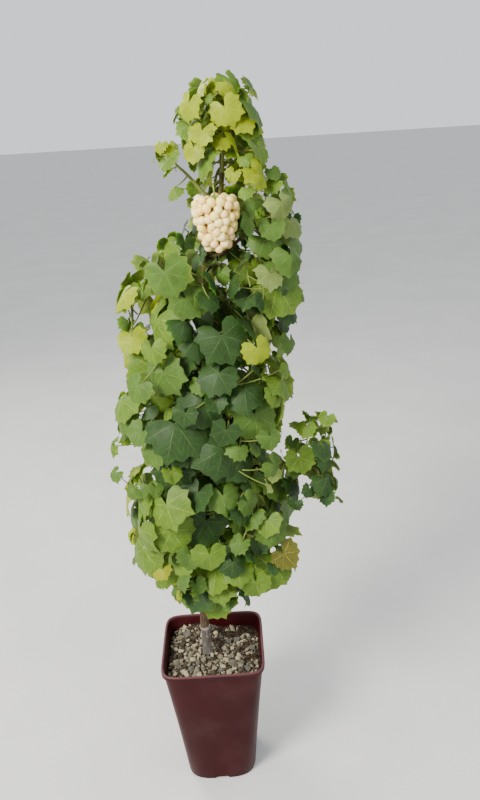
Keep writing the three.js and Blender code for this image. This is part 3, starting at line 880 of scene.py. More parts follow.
def wrapped_limb(name, path, radii, sides, material):
    """A grid wrapped round a path, its seam merged and its ends closed."""
    rings = rings_round(path, radii, sides) * MM
    work = bmesh.new()
    bmesh.ops.create_grid(work, x_segments=sides, y_segments=len(path) - 1, size=0.5)
    for vert in work.verts:
        side = round((vert.co.x + 0.5) * sides) % sides
        row = round((vert.co.y + 0.5) * (len(path) - 1))
        vert.co = rings[row, side]
    bmesh.ops.remove_doubles(work, verts=work.verts, dist=MM * MM)
    return closed_piece(work, name, material)


def stitch(inner, outer):
    """Faces between two rows of rays, each row a list of (ray, index) in rising order.
    The two sides of a notch make one face where they meet the same inner point."""
    faces = []
    i = j = 0
    while i < len(inner) - 1 or j < len(outer) - 1:
        on_outer = j < len(outer) - 1 and (
            i == len(inner) - 1 or outer[j + 1][0] + outer[j][0] <= inner[i + 1][0] + inner[i][0]
        )
        if on_outer:
            face = (inner[i][1], outer[j + 1][1], outer[j][1])
            if outer[j][0] % 2 and faces and faces[-1][:2] == (face[0], face[2]):
                face += faces.pop()[2:]
            faces.append(face)
            j += 1
        else:
            faces.append((inner[i][1], inner[i + 1][1], outer[j][1]))
            i += 1
    return faces


def blade_pattern():
    """A blade's points, as rays and shares of the way out, its faces, and each face's kind:
    0 for the upper side, 1 for a vein on it and 2 for the underside. Both sides share the
    junction and the rim, with a ring of their own between, and the sinus is closed."""
    edges = [-LAST_RAY, LAST_RAY]
    beside = [ray + side for ray in VEIN_RAYS for side in (-VEIN_HALF, VEIN_HALF)]
    rows, rays = [], [0]
    for row in (sorted(edges + beside), list(range(-LAST_RAY, LAST_RAY + 1)),
                sorted(edges + list(VEIN_RAYS))):
        rows.append([(ray, len(rays) + at) for at, ray in enumerate(row)])
        rays += row
    ring, rim, below = rows
    shares = [0] + [RING] * len(ring) + [1] * len(rim) + [RING] * len(below)
    layers = [0] * (1 + len(ring) + len(rim)) + [1] * len(below)
    upper, under = (
        [(0, b[1], a[1]) for a, b in zip(row, row[1:])] + stitch(row, rim) for row in (ring, below)
    )
    under = [(face[0], *reversed(face[1:])) for face in under]
    first, last, first_below, last_below = ring[0][1], ring[-1][1], below[0][1], below[-1][1]
    sinus = [
        (0, first, first_below), (first, rim[0][1], first_below),
        (last, 0, last_below), (rim[-1][1], last, last_below),
    ]
    kinds = []
    for face in upper:
        near = {round(rays[index]) for index in face if index}
        kinds.append(int(len(near) == 1 and len(face) == 3))
    kinds += [2] * (len(under) + len(sinus))
    return np.array(rays), np.array(shares), np.array(layers), upper + under + sinus, kinds


BLADE_RAYS, BLADE_SHARES, BLADE_LAYERS, BLADE_FACES, BLADE_KINDS = blade_pattern()


def ray_radius(rays, looks):
    """How far a blade reaches along its rays, as a part of its width."""
    far = np.abs(rays)
    lobed, rounded = (np.interp(far, np.arange(LAST_RAY + 1), row) for row in (LOBED, ROUNDED))
    reach = rounded + (lobed - rounded) * looks.lobing
    uneven = looks.toothing * (1 + UNEVEN_TEETH * np.sin(TEETH_TURN * rays + looks.phase))
    tooth = 1 + TOOTH * uneven * np.where(np.round(far) % 2, -1, 1)
    lopsided = 1 + looks.lopsided * np.sin(rays * RAY_TURN)
    return reach * np.where(far >= LAST_RAY - 1, 1, tooth) * lopsided


def leaf_surface(leaf, rays, shares):
    """Places on a blade, across, along and above its junction: bent and folded as it grew,
    raised between its veins, rippled and curled towards its rim."""
    looks = leaf.looks
    radius = ray_radius(rays, looks) * shares * leaf.width
    angle = rays * RAY_TURN
    x, y = radius * np.sin(angle), radius * np.cos(angle)
    rise = rise_at(x, y, leaf.fold, leaf.bend, leaf.width)
    between = np.abs(np.sin(np.abs(rays) / RAYS_PER_LOBE * math.pi)) - 0.5
    slow = SLOW_SHARE * np.sin(SLOW_RIPPLES * angle + 2 * looks.phase)
    wave = np.sin(RIPPLES * angle + looks.phase) + slow
    raised = QUILT * between + RIPPLE * looks.ripple * wave - looks.curl * shares
    return x, y, rise + leaf.width * raised * shares**2


def add_blade(heap, leaf, tint):
    x, y, rise = leaf_surface(leaf, BLADE_RAYS, BLADE_SHARES)
    rise = rise - BLADE_THICKNESS * BLADE_LAYERS
    points = leaf.junction + np.stack([x, y, rise], 1) @ leaf.axes.T
    finishes = LEAF_FINISHES[tint]
    shape = np.stack([x, y], 1) / leaf.width
    heap.add(points, BLADE_FACES, [finishes[kind] for kind in BLADE_KINDS], shape)


# Leaf tints, and the ones that a level of the plant has to the left of its middle, in the
# middle and to the right, a name as often as it is likely. Besides tints that leaves really
# differ in, the deep tints crowded into the middle are painted shade and the lime ones to the
# left are painted light
TINTS = {
    "lime": (120, 134, 14),
    "fresh": (80, 106, 31),
    "green": (66, 92, 34),
    "deep": (38, 60, 26),
    "sage": (98, 114, 60),
    "straw": (120, 126, 14),
    "turned": (84, 80, 28),
    "rust": (106, 58, 20),
}
VEIN_TONES = {
    "lime": (148, 156, 52),
    "fresh": (128, 146, 58),
    "green": (98, 120, 50),
    "deep": (68, 92, 40),
}
UNDER = (122, 136, 72)
UNDER_VEIN = (144, 154, 96)
UNDER_SHARE = 0.55
# Deeper tints in the middle of each level are painted shade, lime tints on the left painted light
SPRAY_AND_PAINTED_LIGHT_TINTS = {
    "skirt": ("fresh green green fresh lime", "green fresh green deep", "green fresh green deep"),
    "lower": ("fresh green fresh green lime", "deep green deep green", "green fresh green fresh"),
    "middle": ("green fresh green fresh deep", "deep deep deep green", "green fresh green fresh"),
    "upper": ("fresh fresh green fresh lime", "deep deep green green", "deep green fresh sage"),
    "shoulder": ("green fresh deep", "deep green deep", "sage deep green fresh green"),
    "side": ("green deep", "green fresh deep", "green deep fresh"),
    "left": ("lime fresh lime", "lime fresh", "lime fresh"),
    "head": ("lime lime lime fresh", "lime lime fresh lime", "lime fresh lime green"),
}
MIDDLE_SHARE = 0.3
SAME_SPRAY = 0.6
TINT_SEED = 97
# Single leaves with a tint of their own: the place that each is nearest to, the tint, and
# how much a small leaf is preferred
TURNED = (
    ((-66, -90, 508), "straw", -0.3),
    ((172, -80, 530), "turned", 0),
    ((-78, -90, 575), "rust", 3.0),
    ((125, -100, 945), "lime", 0),
    ((45, -60, 1244), "lime", 0),
    ((34, -60, 1219), "lime", 0),
    ((119, -60, 1256), "lime", 0),
    ((-34, -100, 881), "green", 0),
    ((-76, -100, 865), "green", 0),
    ((168, -90, 1145), "sage", 0),
)

# What differs from leaf to leaf: depth of the teeth, lean, waves and curl
LOOKS = dict(toothing=(0.6, 1.3), lopsided=(-0.06, 0.06), phase=(0, 6.28), ripple=(0.3, 1.0),
             curl=(-0.06, 0.16))
LOBING = (0.0, 0.6)
TIP_LOBING = (0.1, 0.6)


def new_looks(chance, lobing):
    each = dict(lobing=lobing, **LOOKS)
    return SimpleNamespace(**{name: chance.between(*limits) for name, limits in each.items()})


def dress_leaves():
    """Each leaf's tint, which most leaves share with the one that they spring from."""
    chance = Chance(TINT_SEED)
    everything = [leaf for mass in masses for leaf in mass.leaves_grown]
    for leaf in everything:
        middle, half, _ = crown_at(leaf.junction[2])
        side = (leaf.junction[0] - middle) / half
        # Where a leaf lies across its level picks its tints: deeper in the middle as painted
        # shade, lighter to the left as painted light
        part = 1 if abs(side) < MIDDLE_SHARE else 2 * int(side > 0)
        names = SPRAY_AND_PAINTED_LIGHT_TINTS[leaf.mass.name.split("_")[0]][part].split()
        own = names[int(chance.draw() * len(names))]
        keep = chance.draw() < SAME_SPRAY and leaf.parent is not None
        leaf.tint = leaf.parent.tint if keep else own
        leaf.looks = new_looks(chance, LOBING)
    for place, tint, weight in TURNED:
        nearest = min(
            everything, key=lambda leaf: length(leaf.junction - place) + weight * leaf.width)
        nearest.tint = tint


# Screen tones of the wood, the pot, its filling and the berries, a pair where one thing has
# darker and lighter stretches
SHOOT_TONE = (124, 140, 50)
PETIOLE_TONE = (98, 110, 44)
GREEN_TONE = (112, 122, 52)
STEM_TONES = ((92, 90, 44), (132, 124, 66))
BOUGH_TONES = ((80, 62, 42), (124, 102, 72))
FOOT_BARK = ((112, 104, 96), (168, 160, 150))
OLD_BARK = ((80, 62, 46), (132, 110, 84))
YOUNG_BARK = ((126, 118, 68), (166, 160, 98))
GRAFT_TONE = (190, 178, 160)
MAROON = (44, 2, 5)
POT_DUST = (150, 124, 118)
DUST_ON_POT = 0.035
# Paler tone painted over the top of the lip as a painted highlight, and how far down from the rim
# it reaches
LIP_HIGHLIGHT = (112, 76, 80)
LIP_HIGHLIGHT_DEPTH = 5
COMPOST_TONES = ((26, 20, 15), (70, 56, 42))
BLOOM = (255, 234, 180)
BLOOM_AMOUNT = 0.3
FLOOR_TONES = ((192, 192, 190), (198, 198, 196))


# Shader nodes

def add_node(tree, kind, settings=None, inputs=None):
    """A node with its settings, and its inputs set to values or joined to other sockets."""
    node = tree.nodes.new(kind)
    for name, value in (settings or {}).items():
        setattr(node, name, value)
    for key, value in (inputs or {}).items():
        if isinstance(value, bpy.types.NodeSocket):
            tree.links.new(value, node.inputs[key])
        else:
            node.inputs[key].default_value = value
    return node


def reckon(tree, operation, first, second=0.0):
    node = add_node(tree, "ShaderNodeMath", {"operation": operation}, {0: first, 1: second})
    return node.outputs[0]


def spread(tree, value, low, high, to_low=0.0, to_high=1.0):
    node = add_node(tree, "ShaderNodeMapRange", {"interpolation_type": "SMOOTHSTEP"}, {
        "Value": value, "From Min": low, "From Max": high, "To Min": to_low, "To Max": to_high,
    })
    return node.outputs["Result"]


def blend(tree, factor, first, second):
    node = add_node(tree, "ShaderNodeMix", {"data_type": "RGBA"}, {0: factor, 6: first, 7: second})
    return node.outputs[2]


def noise_value(tree, place, scale, detail=3.0, roughness=0.55):
    node = add_node(tree, "ShaderNodeTexNoise", None, {
        "Vector": place, "Scale": scale, "Detail": detail, "Roughness": roughness,
    })
    return node.outputs["Fac"]


def height_value(tree, place):
    return add_node(tree, "ShaderNodeSeparateXYZ", None, {0: place}).outputs[2]


def shared_group(name, inputs, outputs):
    """An empty node group with named sockets: its tree, its inputs and its end."""
    tree = bpy.data.node_groups.new(name, "ShaderNodeTree")
    kinds = {"value": "NodeSocketFloat", "colour": "NodeSocketColor", "place": "NodeSocketVector"}
    for socket, kind in inputs.items():
        tree.interface.new_socket(socket, in_out="INPUT", socket_type=kinds[kind])
    for socket, kind in outputs.items():
        tree.interface.new_socket(socket, in_out="OUTPUT", socket_type=kinds[kind])
    start = tree.nodes.new("NodeGroupInput")
    return tree, start.outputs, tree.nodes.new("NodeGroupOutput")


def close_group(tree, end, **values):
    for name, socket in values.items():
        tree.links.new(socket, end.inputs[name])


def group_mottle():
    """Two tones dealt out by a soft noise, and the noise itself as a height."""
    tree, start, end = shared_group(
        "mottle",
        {"Place": "place", "Scale": "value", "Dark": "colour", "Light": "colour"},
        {"Colour": "colour", "Height": "value"},
    )
    soft = noise_value(tree, start["Place"], start["Scale"])
    share = spread(tree, soft, 0.3, 0.7)
    close_group(tree, end, Colour=blend(tree, share, start["Dark"], start["Light"]), Height=soft)
    return tree


def group_side_veins():
    """Side veins of a blade from its own map: they slant off each main vein to the rim."""
    tree, start, end = shared_group("side_veins", {"Shape": "place"}, {"Mask": "value"})
    parts = add_node(tree, "ShaderNodeSeparateXYZ", None, {0: start["Shape"]}).outputs
    angle = reckon(tree, "ARCTAN2", reckon(tree, "ABSOLUTE", parts[0]), parts[1])
    lobe_turn = RAY_TURN * RAYS_PER_LOBE
    lobe = reckon(tree, "ROUND", reckon(tree, "DIVIDE", angle, lobe_turn))
    off = reckon(tree, "SUBTRACT", angle, reckon(tree, "MULTIPLY", lobe, lobe_turn))
    radius = add_node(tree, "ShaderNodeVectorMath", {"operation": "LENGTH"},
                      {0: start["Shape"]}).outputs["Value"]
    out = reckon(tree, "MULTIPLY", radius, reckon(tree, "COSINE", off))
    sine = reckon(tree, "MULTIPLY", radius, reckon(tree, "SINE", off))
    aside = reckon(tree, "ABSOLUTE", sine)
    slant = reckon(tree, "SUBTRACT", out, reckon(tree, "MULTIPLY", aside, SIDE_VEIN_SLANT))
    step = reckon(tree, "FRACT", reckon(tree, "DIVIDE", slant, SIDE_VEIN_STEP))
    far = reckon(tree, "ABSOLUTE", reckon(tree, "SUBTRACT", step, 0.5))
    line = spread(tree, far, 0.0, SIDE_VEIN_WIDTH, 1.0, 0.0)
    ends = spread(tree, angle, VEINS_END - VEINS_FADE, VEINS_END, 1.0, 0.0)
    close_group(tree, end, Mask=reckon(tree, "MULTIPLY", line, ends))
    return tree


FIBRE_STRETCH = 0.09


def group_fibres():
    """Long fibres along the Z axis, as on vine bark, and the patches that they wear in."""
    tree, start, end = shared_group(
        "fibres", {"Place": "place", "Fineness": "value"}, {"Mask": "value", "Patches": "value"},
    )
    stretched = add_node(tree, "ShaderNodeMapping", None, {
        "Vector": start["Place"], "Scale": (1.0, 1.0, FIBRE_STRETCH),
    }).outputs[0]
    fine = noise_value(tree, stretched, start["Fineness"], 5.0, 0.65)
    patches = noise_value(tree, start["Place"], 45.0, 3.0)
    close_group(tree, end, Mask=spread(tree, fine, 0.36, 0.66), Patches=patches)
    return tree


def group_dust():
    """Pale dust in patches and specks."""
    tree, start, end = shared_group(
        "dust", {"Place": "place", "Amount": "value"}, {"Mask": "value"},
    )
    patches = noise_value(tree, start["Place"], 14.0, 5.0, 0.6)
    specks = noise_value(tree, start["Place"], 420.0, 2.0, 0.5)
    cover = reckon(tree, "MULTIPLY", spread(tree, patches, 0.45, 0.75), start["Amount"])
    dots = reckon(tree, "MULTIPLY", spread(tree, specks, 0.62, 0.74), start["Amount"])
    close_group(tree, end, Mask=reckon(tree, "MAXIMUM", cover, dots))
    return tree


GROUPS = SimpleNamespace(
    mottle=group_mottle(), veins=group_side_veins(), fibres=group_fibres(), dust=group_dust(),
)


def new_material(name, roughness, **constants):
    """A material with its shader, its tree and its coordinates."""
    material = bpy.data.materials.new(name)
    material.use_nodes = True
    tree = material.node_tree
    shader = tree.nodes["Principled BSDF"]
    shader.inputs["Roughness"].default_value = roughness
    for socket, value in constants.items():
        shader.inputs[socket.replace("_", " ")].default_value = value
    places = add_node(tree, "ShaderNodeTexCoord").outputs
    return material, tree, shader, places


def use_group(tree, group, **inputs):
    node = add_node(tree, "ShaderNodeGroup", {"node_tree": group}, inputs)
    return node.outputs


def mottled(tree, places, scale, dark, light):
    return use_group(tree, GROUPS.mottle, Place=places["Object"], Scale=scale, Dark=dark,
                     Light=light)


def colour_and_bump(tree, shader, colour, height, strength, distance):
    tree.links.new(colour, shader.inputs["Base Color"])
    node = add_node(tree, "ShaderNodeBump", None, {
        "Height": height, "Strength": strength, "Distance": distance,
    })
    tree.links.new(node.outputs[0], shader.inputs["Normal"])


def leaf_material(name, colour, vein, vein_share, roughness):
    """Soft leaf tissue: slightly uneven in tone, with faint side veins sunk into it."""
    material, tree, shader, places = new_material(
        name, roughness, Subsurface_Weight=0.25, Subsurface_Scale=0.0012,
        Subsurface_Radius=(0.6, 1.0, 0.12), Specular_IOR_Level=0.14,
    )
    mottle = mottled(tree, places, 55.0, shade(colour, 0.84), shade(colour, 1.14))
    veins = use_group(tree, GROUPS.veins, Shape=places["UV"])["Mask"]
    share = reckon(tree, "MULTIPLY", veins, vein_share)
    shown = blend(tree, share, mottle["Colour"], vein)
    sunk = reckon(tree, "MULTIPLY", veins, VEIN_SINK)
    colour_and_bump(tree, shader, shown, reckon(tree, "SUBTRACT", mottle["Height"], sunk),
                    0.5, 0.0012)
    return material


def plain_growth(name, colour, roughness=0.6, scale=90.0):
    """Shoots, petioles and veins: one tone with soft lighter and darker stretches."""
    material, tree, shader, places = new_material(name, roughness, Specular_IOR_Level=0.3)
    mottle = mottled(tree, places, scale, shade(colour, 0.8), shade(colour, 1.15))
    colour_and_bump(tree, shader, mottle["Colour"], mottle["Height"], 0.3, 0.0006)
    return material


def make_leaf_finishes():
    """For each tint the finishes of a blade's kinds of faces, in their order."""
    under = tone(*UNDER)
    veins = {name: plain_growth(f"leaf_vein_{name}", tone(*screen))
             for name, screen in VEIN_TONES.items()}
    made = {}
    for name, screen in TINTS.items():
        colour = tone(*screen)
        vein_name = name if name in VEIN_TONES else "lime"
        vein = tone(*VEIN_TONES[vein_name])
        pale = tuple((1 - UNDER_SHARE) * a + UNDER_SHARE * b for a, b in zip(colour, under))
        made[name] = (
            leaf_material(f"leaf_{name}", colour, vein, 0.3, 0.5),
            veins[vein_name],
            leaf_material(f"leaf_{name}_under", pale, tone(*UNDER_VEIN), 0.35, 0.75),
        )
    return made


def bark_shown(tree, fibres, dark, light):
    worn = spread(tree, fibres["Patches"], 0.35, 0.7)
    # The grooves between the fibres, low in the bump, are painted half as dark: partly the bark's
    # darker furrows, partly painted shade
    share = reckon(tree, "MULTIPLY", fibres["Mask"], 0.75)
    return blend(tree, share, shade(dark, 0.5), blend(tree, worn, dark, light))


def bark_material(name, dark, light, fineness, depth):
    material, tree, shader, places = new_material(name, 0.88, Specular_IOR_Level=0.2)
    fibres = use_group(tree, GROUPS.fibres, Place=places["Object"], Fineness=fineness)
    shown = bark_shown(tree, fibres, dark, light)
    colour_and_bump(tree, shader, shown, fibres["Mask"], 0.8, depth)
    return material


# Metres: where bark turns young, and the unevenness and half width of the graft's ring
YOUNG_BARK_RANGE = (0.8, 1.15)
GRAFT_UNEVENNESS = 0.03
GRAFT_RING = (0.001, 0.005)


def trunk_material():
    """Weathered grey at the foot, a pale ring at the graft and brown bark above it."""
    material, tree, shader, places = new_material("trunk_bark", 0.9, Specular_IOR_Level=0.2)
    fibres = use_group(tree, GROUPS.fibres, Place=places["Object"], Fineness=330.0)
    foot, brown, young = (
        bark_shown(tree, fibres, *tones(pair)) for pair in (FOOT_BARK, OLD_BARK, YOUNG_BARK)
    )
    height = height_value(tree, places["Object"])
    upper = blend(tree, spread(tree, height, *YOUNG_BARK_RANGE), brown, young)
    uneven = reckon(tree, "SUBTRACT", fibres["Patches"], 0.5)
    ragged = reckon(tree, "MULTIPLY", uneven, GRAFT_UNEVENNESS)
    level = reckon(tree, "ADD", height, ragged)
    above = spread(tree, level, *((GRAFT_HEIGHT + rise) * MM for rise in GRAFT_EDGES))
    away = reckon(tree, "ABSOLUTE", reckon(tree, "SUBTRACT", level, GRAFT_HEIGHT * MM))
    ring = spread(tree, away, *GRAFT_RING, 0.5, 0.0)
    shown = blend(tree, ring, blend(tree, above, foot, upper), tone(*GRAFT_TONE))
    colour_and_bump(tree, shader, shown, fibres["Mask"], 0.9, 0.0018)
    return material


def pot_material():
    """Dull maroon plastic, moulded grain, a little dust and a lip painted paler as a highlight."""
    material, tree, shader, places = new_material(
        "pot_plastic", 0.42, Specular_IOR_Level=0.14, Coat_Weight=0.02, Coat_Roughness=0.4,
    )
    maroon = tone(*MAROON)
    mottle = mottled(tree, places, 9.0, shade(maroon, 0.88), shade(maroon, 1.1))
    dust = use_group(tree, GROUPS.dust, Place=places["Object"], Amount=DUST_ON_POT)["Mask"]
    dusty = blend(tree, dust, mottle["Colour"], tone(*POT_DUST))
    height = height_value(tree, places["Object"])
    # Painted highlight: the top of the lip blends towards a paler tone
    lip_highlight = spread(tree, height, (POT_HEIGHT - LIP_HIGHLIGHT_DEPTH) * MM, POT_HEIGHT * MM, 0.0, 0.4)
    shown = blend(tree, lip_highlight, dusty, tone(*LIP_HIGHLIGHT))
    tree.links.new(spread(tree, dust, 0.0, 0.5, 0.46, 0.75), shader.inputs["Roughness"])
    grain = noise_value(tree, places["Object"], 900.0, 2.0)
    colour_and_bump(tree, shader, shown, grain, 0.12, 0.0004)
    return material


def grit_material(name, colour):
    material, tree, shader, places = new_material(name, 0.95, Specular_IOR_Level=0.2)
    mottle = mottled(tree, places, 260.0, shade(colour, 0.72), shade(colour, 1.1))
    pores = noise_value(tree, places["Object"], 900.0, 3.0, 0.7)
    colour_and_bump(tree, shader, mottle["Colour"], pores, 0.8, 0.0009)
    return material


def compost_material():
    material, tree, shader, places = new_material("compost", 0.97, Specular_IOR_Level=0.15)
    crumbs = add_node(tree, "ShaderNodeTexVoronoi", None, {
        "Vector": places["Object"], "Scale": 260.0,
    }).outputs
    mottle = mottled(tree, places, 120.0, *tones(COMPOST_TONES))
    colour_and_bump(tree, shader, mottle["Colour"], crumbs["Distance"], 1.0, 0.004)
    return material


def grape_material(name, skin):
    """Pale waxy skin: a light bloom in patches over a slightly clear berry."""
    material, tree, shader, places = new_material(
        name, 0.36, Subsurface_Weight=0.45, Subsurface_Scale=0.006,
        Subsurface_Radius=(1.0, 0.7, 0.35), Specular_IOR_Level=0.45,
    )
    mottle = mottled(tree, places, 120.0, shade(skin, 0.9), shade(skin, 1.06))
    dust = use_group(tree, GROUPS.dust, Place=places["Object"], Amount=BLOOM_AMOUNT)["Mask"]
    shown = blend(tree, dust, mottle["Colour"], tone(*BLOOM))
    tree.links.new(spread(tree, dust, 0.0, 0.3, 0.34, 0.6), shader.inputs["Roughness"])
    colour_and_bump(tree, shader, shown, mottle["Height"], 0.1, 0.0006)
    return material


LEAF_FINISHES = make_leaf_finishes()
YOUNG_SHOOT = plain_growth("young_shoot", tone(*SHOOT_TONE), 0.55)
PETIOLE = plain_growth("petiole", tone(*PETIOLE_TONE))
STEM_BARK = bark_material("stem_bark", *tones(STEM_TONES), 500.0, 0.0006)
BOUGH_BARK = bark_material("bough_bark", *tones(BOUGH_TONES), 420.0, 0.001)
GREEN_BARK = plain_growth("green_bark", tone(*GREEN_TONE))


def finish_piece(piece, material_slot, *nodes):
    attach(piece, "root")
    if nodes:
        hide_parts(*nodes)


def leaf_slot(mass):
    return "young_leaf" if mass.name.split("_")[0] in ("head", "left") else "leaf"


def bowed(start, end, sag, steps):
    """A path from start to end that hangs a little in its middle."""
    t = np.linspace(0, 1, steps)[:, None]
    path = mix(start, end, t)
    path[:, 2] -= (4 * t * (1 - t))[:, 0] * sag * length(end - start)
    return path


def shoot(start, end, last_radius):
    """A short shoot, bowed and thinner towards its end, as a tube."""
    path = bowed(start, end, SHOOT_SAG, SHOOT_STEPS)
    return tube(path, np.linspace(SHOOT_RADIUS, last_radius, SHOOT_STEPS), SHOOT_SIDES)


def small_leaf(chance, junction, normal, size):
    """A small young leaf at a place, facing along its normal."""
    hang = np.array([chance.between(*TIP_SWAY), chance.between(*TIP_SWAY), -1.0])
    return SimpleNamespace(
        junction=junction, width=size, axes=blade_axes(normal, hang),
        bend=chance.between(*TIP_BEND), fold=chance.between(*TIP_FOLD),
        looks=new_looks(chance, TIP_LOBING),
    )


def add_tendril(heap, chance, start, outward):
    """A thin coiled tendril that leaves its node outwards and ends in a curl. Its reach, the
    radius of its curl and the number of turns are drawn between limits."""
    reach, curl, turns = (chance.between(*limits) for limits in TENDRIL_LIMITS)
    along, across = CURL_DRIFT
    side = unit(np.cross(outward, [0, 0, 1]))
    up = np.array([0, 0, 1])
    path = []
    for t in np.linspace(0, 1, TENDRIL_STEPS):
        if t < 0.5:
            place = start + outward * reach * t * 2 + up * TENDRIL_RISE * math.sin(t * math.pi)
        else:
            u = (t - 0.5) * 2
            angle = u * turns * FULL_TURN
            radius = curl * (1 - CURL_TIGHTENING * u)
            centre = start + outward * (reach + along * u) + up * (TENDRIL_RISE - curl)
            place = centre + outward * radius * math.sin(angle)
            place = place + up * radius * math.cos(angle) + side * across * u
        path.append(place)
    radii = np.linspace(TENDRIL_RADIUS, TENDRIL_RADIUS * TENDRIL_THINNING, len(path))
    heap.add(*tube(path, radii, SHOOT_SIDES), YOUNG_SHOOT)


def stem_radii():
    t = np.linspace(0, 1, STEM_RINGS)
    taper = BOUGH_TIP_RADIUS + (STEM_TIP_RADIUS - BOUGH_TIP_RADIUS) * t
    node = np.exp(-(((t * STEM_NODES) % 1 - 0.5) ** 2) / NODE_SHARPNESS)
    return taper + NODE_SWELLING * node


def way_out(angle, lift):
    return np.array([math.cos(angle), math.sin(angle), lift])


def dress_mass(mass, index):
    """A mass of foliage: its leaves, and its stem, petioles, tip leaves and tendrils."""
    chance = Chance(DRESS_SEED + SEED_STEP * index)
    leaves, twigs = Heap(), Heap()
    for leaf in mass.leaves_grown:
        add_blade(leaves, leaf, leaf.tint)
        path = bowed(leaf.stalk[0], leaf.junction, PETIOLE_SAG, PETIOLE_STEPS)
        if leaf.base is not None:
            path = np.concatenate([[leaf.base], path])
        twigs.add(*tube(path, np.linspace(*PETIOLE_RADII, len(path)), PETIOLE_SIDES), PETIOLE)
    path = [on_stem(mass.stem, t) for t in np.linspace(0, 1, STEM_RINGS)]
    is_young = leaf_slot(mass) == "young_leaf"
    twigs.add(*tube(path, stem_radii(), STEM_SIDES), GREEN_BARK if is_young else STEM_BARK)
    young = "lime" if is_young else "fresh"
    for _ in range(TIP_LEAVES):
        facing = unit(way_out(chance.between(0, FULL_TURN), chance.between(*TIP_LIFT)))
        root = on_stem(mass.stem, chance.between(TIP_LEAVES_FROM, 1.0))
        junction = root + facing * chance.between(*TIP_AWAY)
        add_blade(leaves, small_leaf(chance, junction, facing, chance.between(*TIP_SIZE)), young)
        twigs.add(*shoot(root, junction, TIP_SHOOT_END), YOUNG_SHOOT)
    for _ in range(TENDRILS_PER_MASS):
        start = on_stem(mass.stem, chance.between(TENDRILS_FROM, 1.0))
        add_tendril(twigs, chance, start, way_out(chance.between(0, FULL_TURN), 0.0))
    node = f"foliage_{mass.name}"
    finish_piece(leaves.piece(f"leaves_{mass.name}"), leaf_slot(mass), node)
    finish_piece(twigs.piece(f"twigs_{mass.name}"), "bark", node)


def bark_relief(path, sides, fine):
    """Height of fibrous ridges and cracks round a limb, that run along it."""
    relief = np.empty((len(path), sides))
    for row, place in enumerate(path):
        for side in range(sides):
            angle = side * FULL_TURN / sides
            around = Vector((math.cos(angle), math.sin(angle), 0)) * fine
            ridge = noise.noise(around + Vector((0, 0, place[2] / RIDGE_LENGTH)))
            apart = Vector((CRACKS_APART, 0, place[2] / CRACK_LENGTH))
            crack = abs(noise.noise(around * CRACKS_FINER + apart))
            relief[row, side] = ridge + RIDGE_LEVEL - CRACK_DEPTH * max(0, CRACK_WIDTH - crack)
    return relief


def build_trunk():
    steps = round((TRUNK_COURSE[-1][2] - TRUNK_COURSE[0][2]) / BARK_STEP)
    shares = np.linspace(0, 1, steps)
    path = course_points(TRUNK_COURSE, shares)
    radii = np.array([trunk_radius(t) for t in shares]) * BARK_SHARE
    heights = path[:, 2]
    radii += GRAFT_SWELLING * np.exp(-(((heights - GRAFT_HEIGHT) / GRAFT_LENGTH) ** 2))
    off_node = ((heights - SOIL_TOP) % NODE_EVERY) / NODE_EVERY - 0.5
    above = heights > GRAFT_HEIGHT + NODES_OVER_GRAFT
    radii += NODE_BULGE * np.exp(-((off_node / NODE_LENGTH) ** 2)) * above
    kept, fading = RELIEF_SHARES
    depth = BARK_RELIEF * (kept + fading * np.exp(-(heights - SOIL_TOP) / RELIEF_FADE))
    shown = radii[:, None] + bark_relief(path, BARK_SIDES, BARK_FINENESS) * depth[:, None]
    piece = wrapped_limb("trunk_bark", path, shown, BARK_SIDES, trunk_material())
    finish_piece(piece, "bark", "trunk")


def build_bough(mass):
    shares = np.linspace(0, 1, BOUGH_BARK_STEPS)
    path = course_points(mass.bough, shares)
    collar = COLLAR * np.exp(-shares / COLLAR_LENGTH)
    radii = np.array([bough_radius(mass, t) for t in shares]) + collar
    relief = bark_relief(path, BOUGH_BARK_SIDES, BOUGH_FINENESS)
    shown = radii[:, None] + BOUGH_RELIEF * relief
    bark = GREEN_BARK if mass.root > GREEN_FROM else BOUGH_BARK
    piece = wrapped_limb(f"bark_{mass.name}", path, shown, BOUGH_BARK_SIDES, bark)
    finish_piece(piece, "bark", f"bough_{mass.name}")


# Pot

def press_square(verts):
    """Presses round rings into a square, its corners rounder towards the pot's base."""
    for vert in verts:
        rise = min(vert.co.z / ((POT_HEIGHT - LIP_HEIGHT) * MM), 1)
        turned = math.atan2(vert.co.y, vert.co.x)
        angle = turned + CORNER_CROWDING * math.sin(4 * turned)
        cosine, sine = math.cos(angle), math.sin(angle)
        base, rim = (
            (abs(cosine) ** power + abs(sine) ** power) ** (-1 / power)
            for power in (BASE_CORNERS, RIM_CORNERS)
        )
        radius = math.hypot(vert.co.x, vert.co.y) * (base + (rim - base) * rise)
        vert.co.x, vert.co.y = radius * cosine, radius * sine


def inner_half(height):
    share = height / (POT_HEIGHT - LIP_HEIGHT)
    return BASE_HALF + (SHOULDER_HALF - BASE_HALF) * share - WALL


def arc(centre, radius, start, end, steps):
    """Points on an arc in the pot's section, angles in degrees from straight out."""
    angles = np.linspace(start, end, steps) * DEGREE
    return [(centre[0] + radius * math.cos(a), centre[1] + radius * math.sin(a)) for a in angles]


def pot_profile():
    """Half width and height along the wall's section, from the underside round to inside."""
    lip_bottom = POT_HEIGHT - LIP_HEIGHT
    foot, under, over = FOOT_ROUND, LIP_UNDER, LIP_OVER
    wall = lip_bottom - foot - LIP_GAP
    rows = arc((BASE_HALF - foot, foot), foot, -90, -10, 5)
    rows += [(BASE_HALF + (SHOULDER_HALF - BASE_HALF) * t, foot + wall * t) for t in OUTER_ROWS]
    rows += arc((RIM_HALF - under, lip_bottom + under), under, -80, -10, 4)
    rows += arc((RIM_HALF - over, POT_HEIGHT - over), over, 10, 170, 7)
    heights = [lip_bottom - down for down in UNDER_LIP] + [SOIL_TOP, *INNER_ROWS, POT_FLOOR]
    rows += [(inner_half(height), height) for height in heights]
    return rows


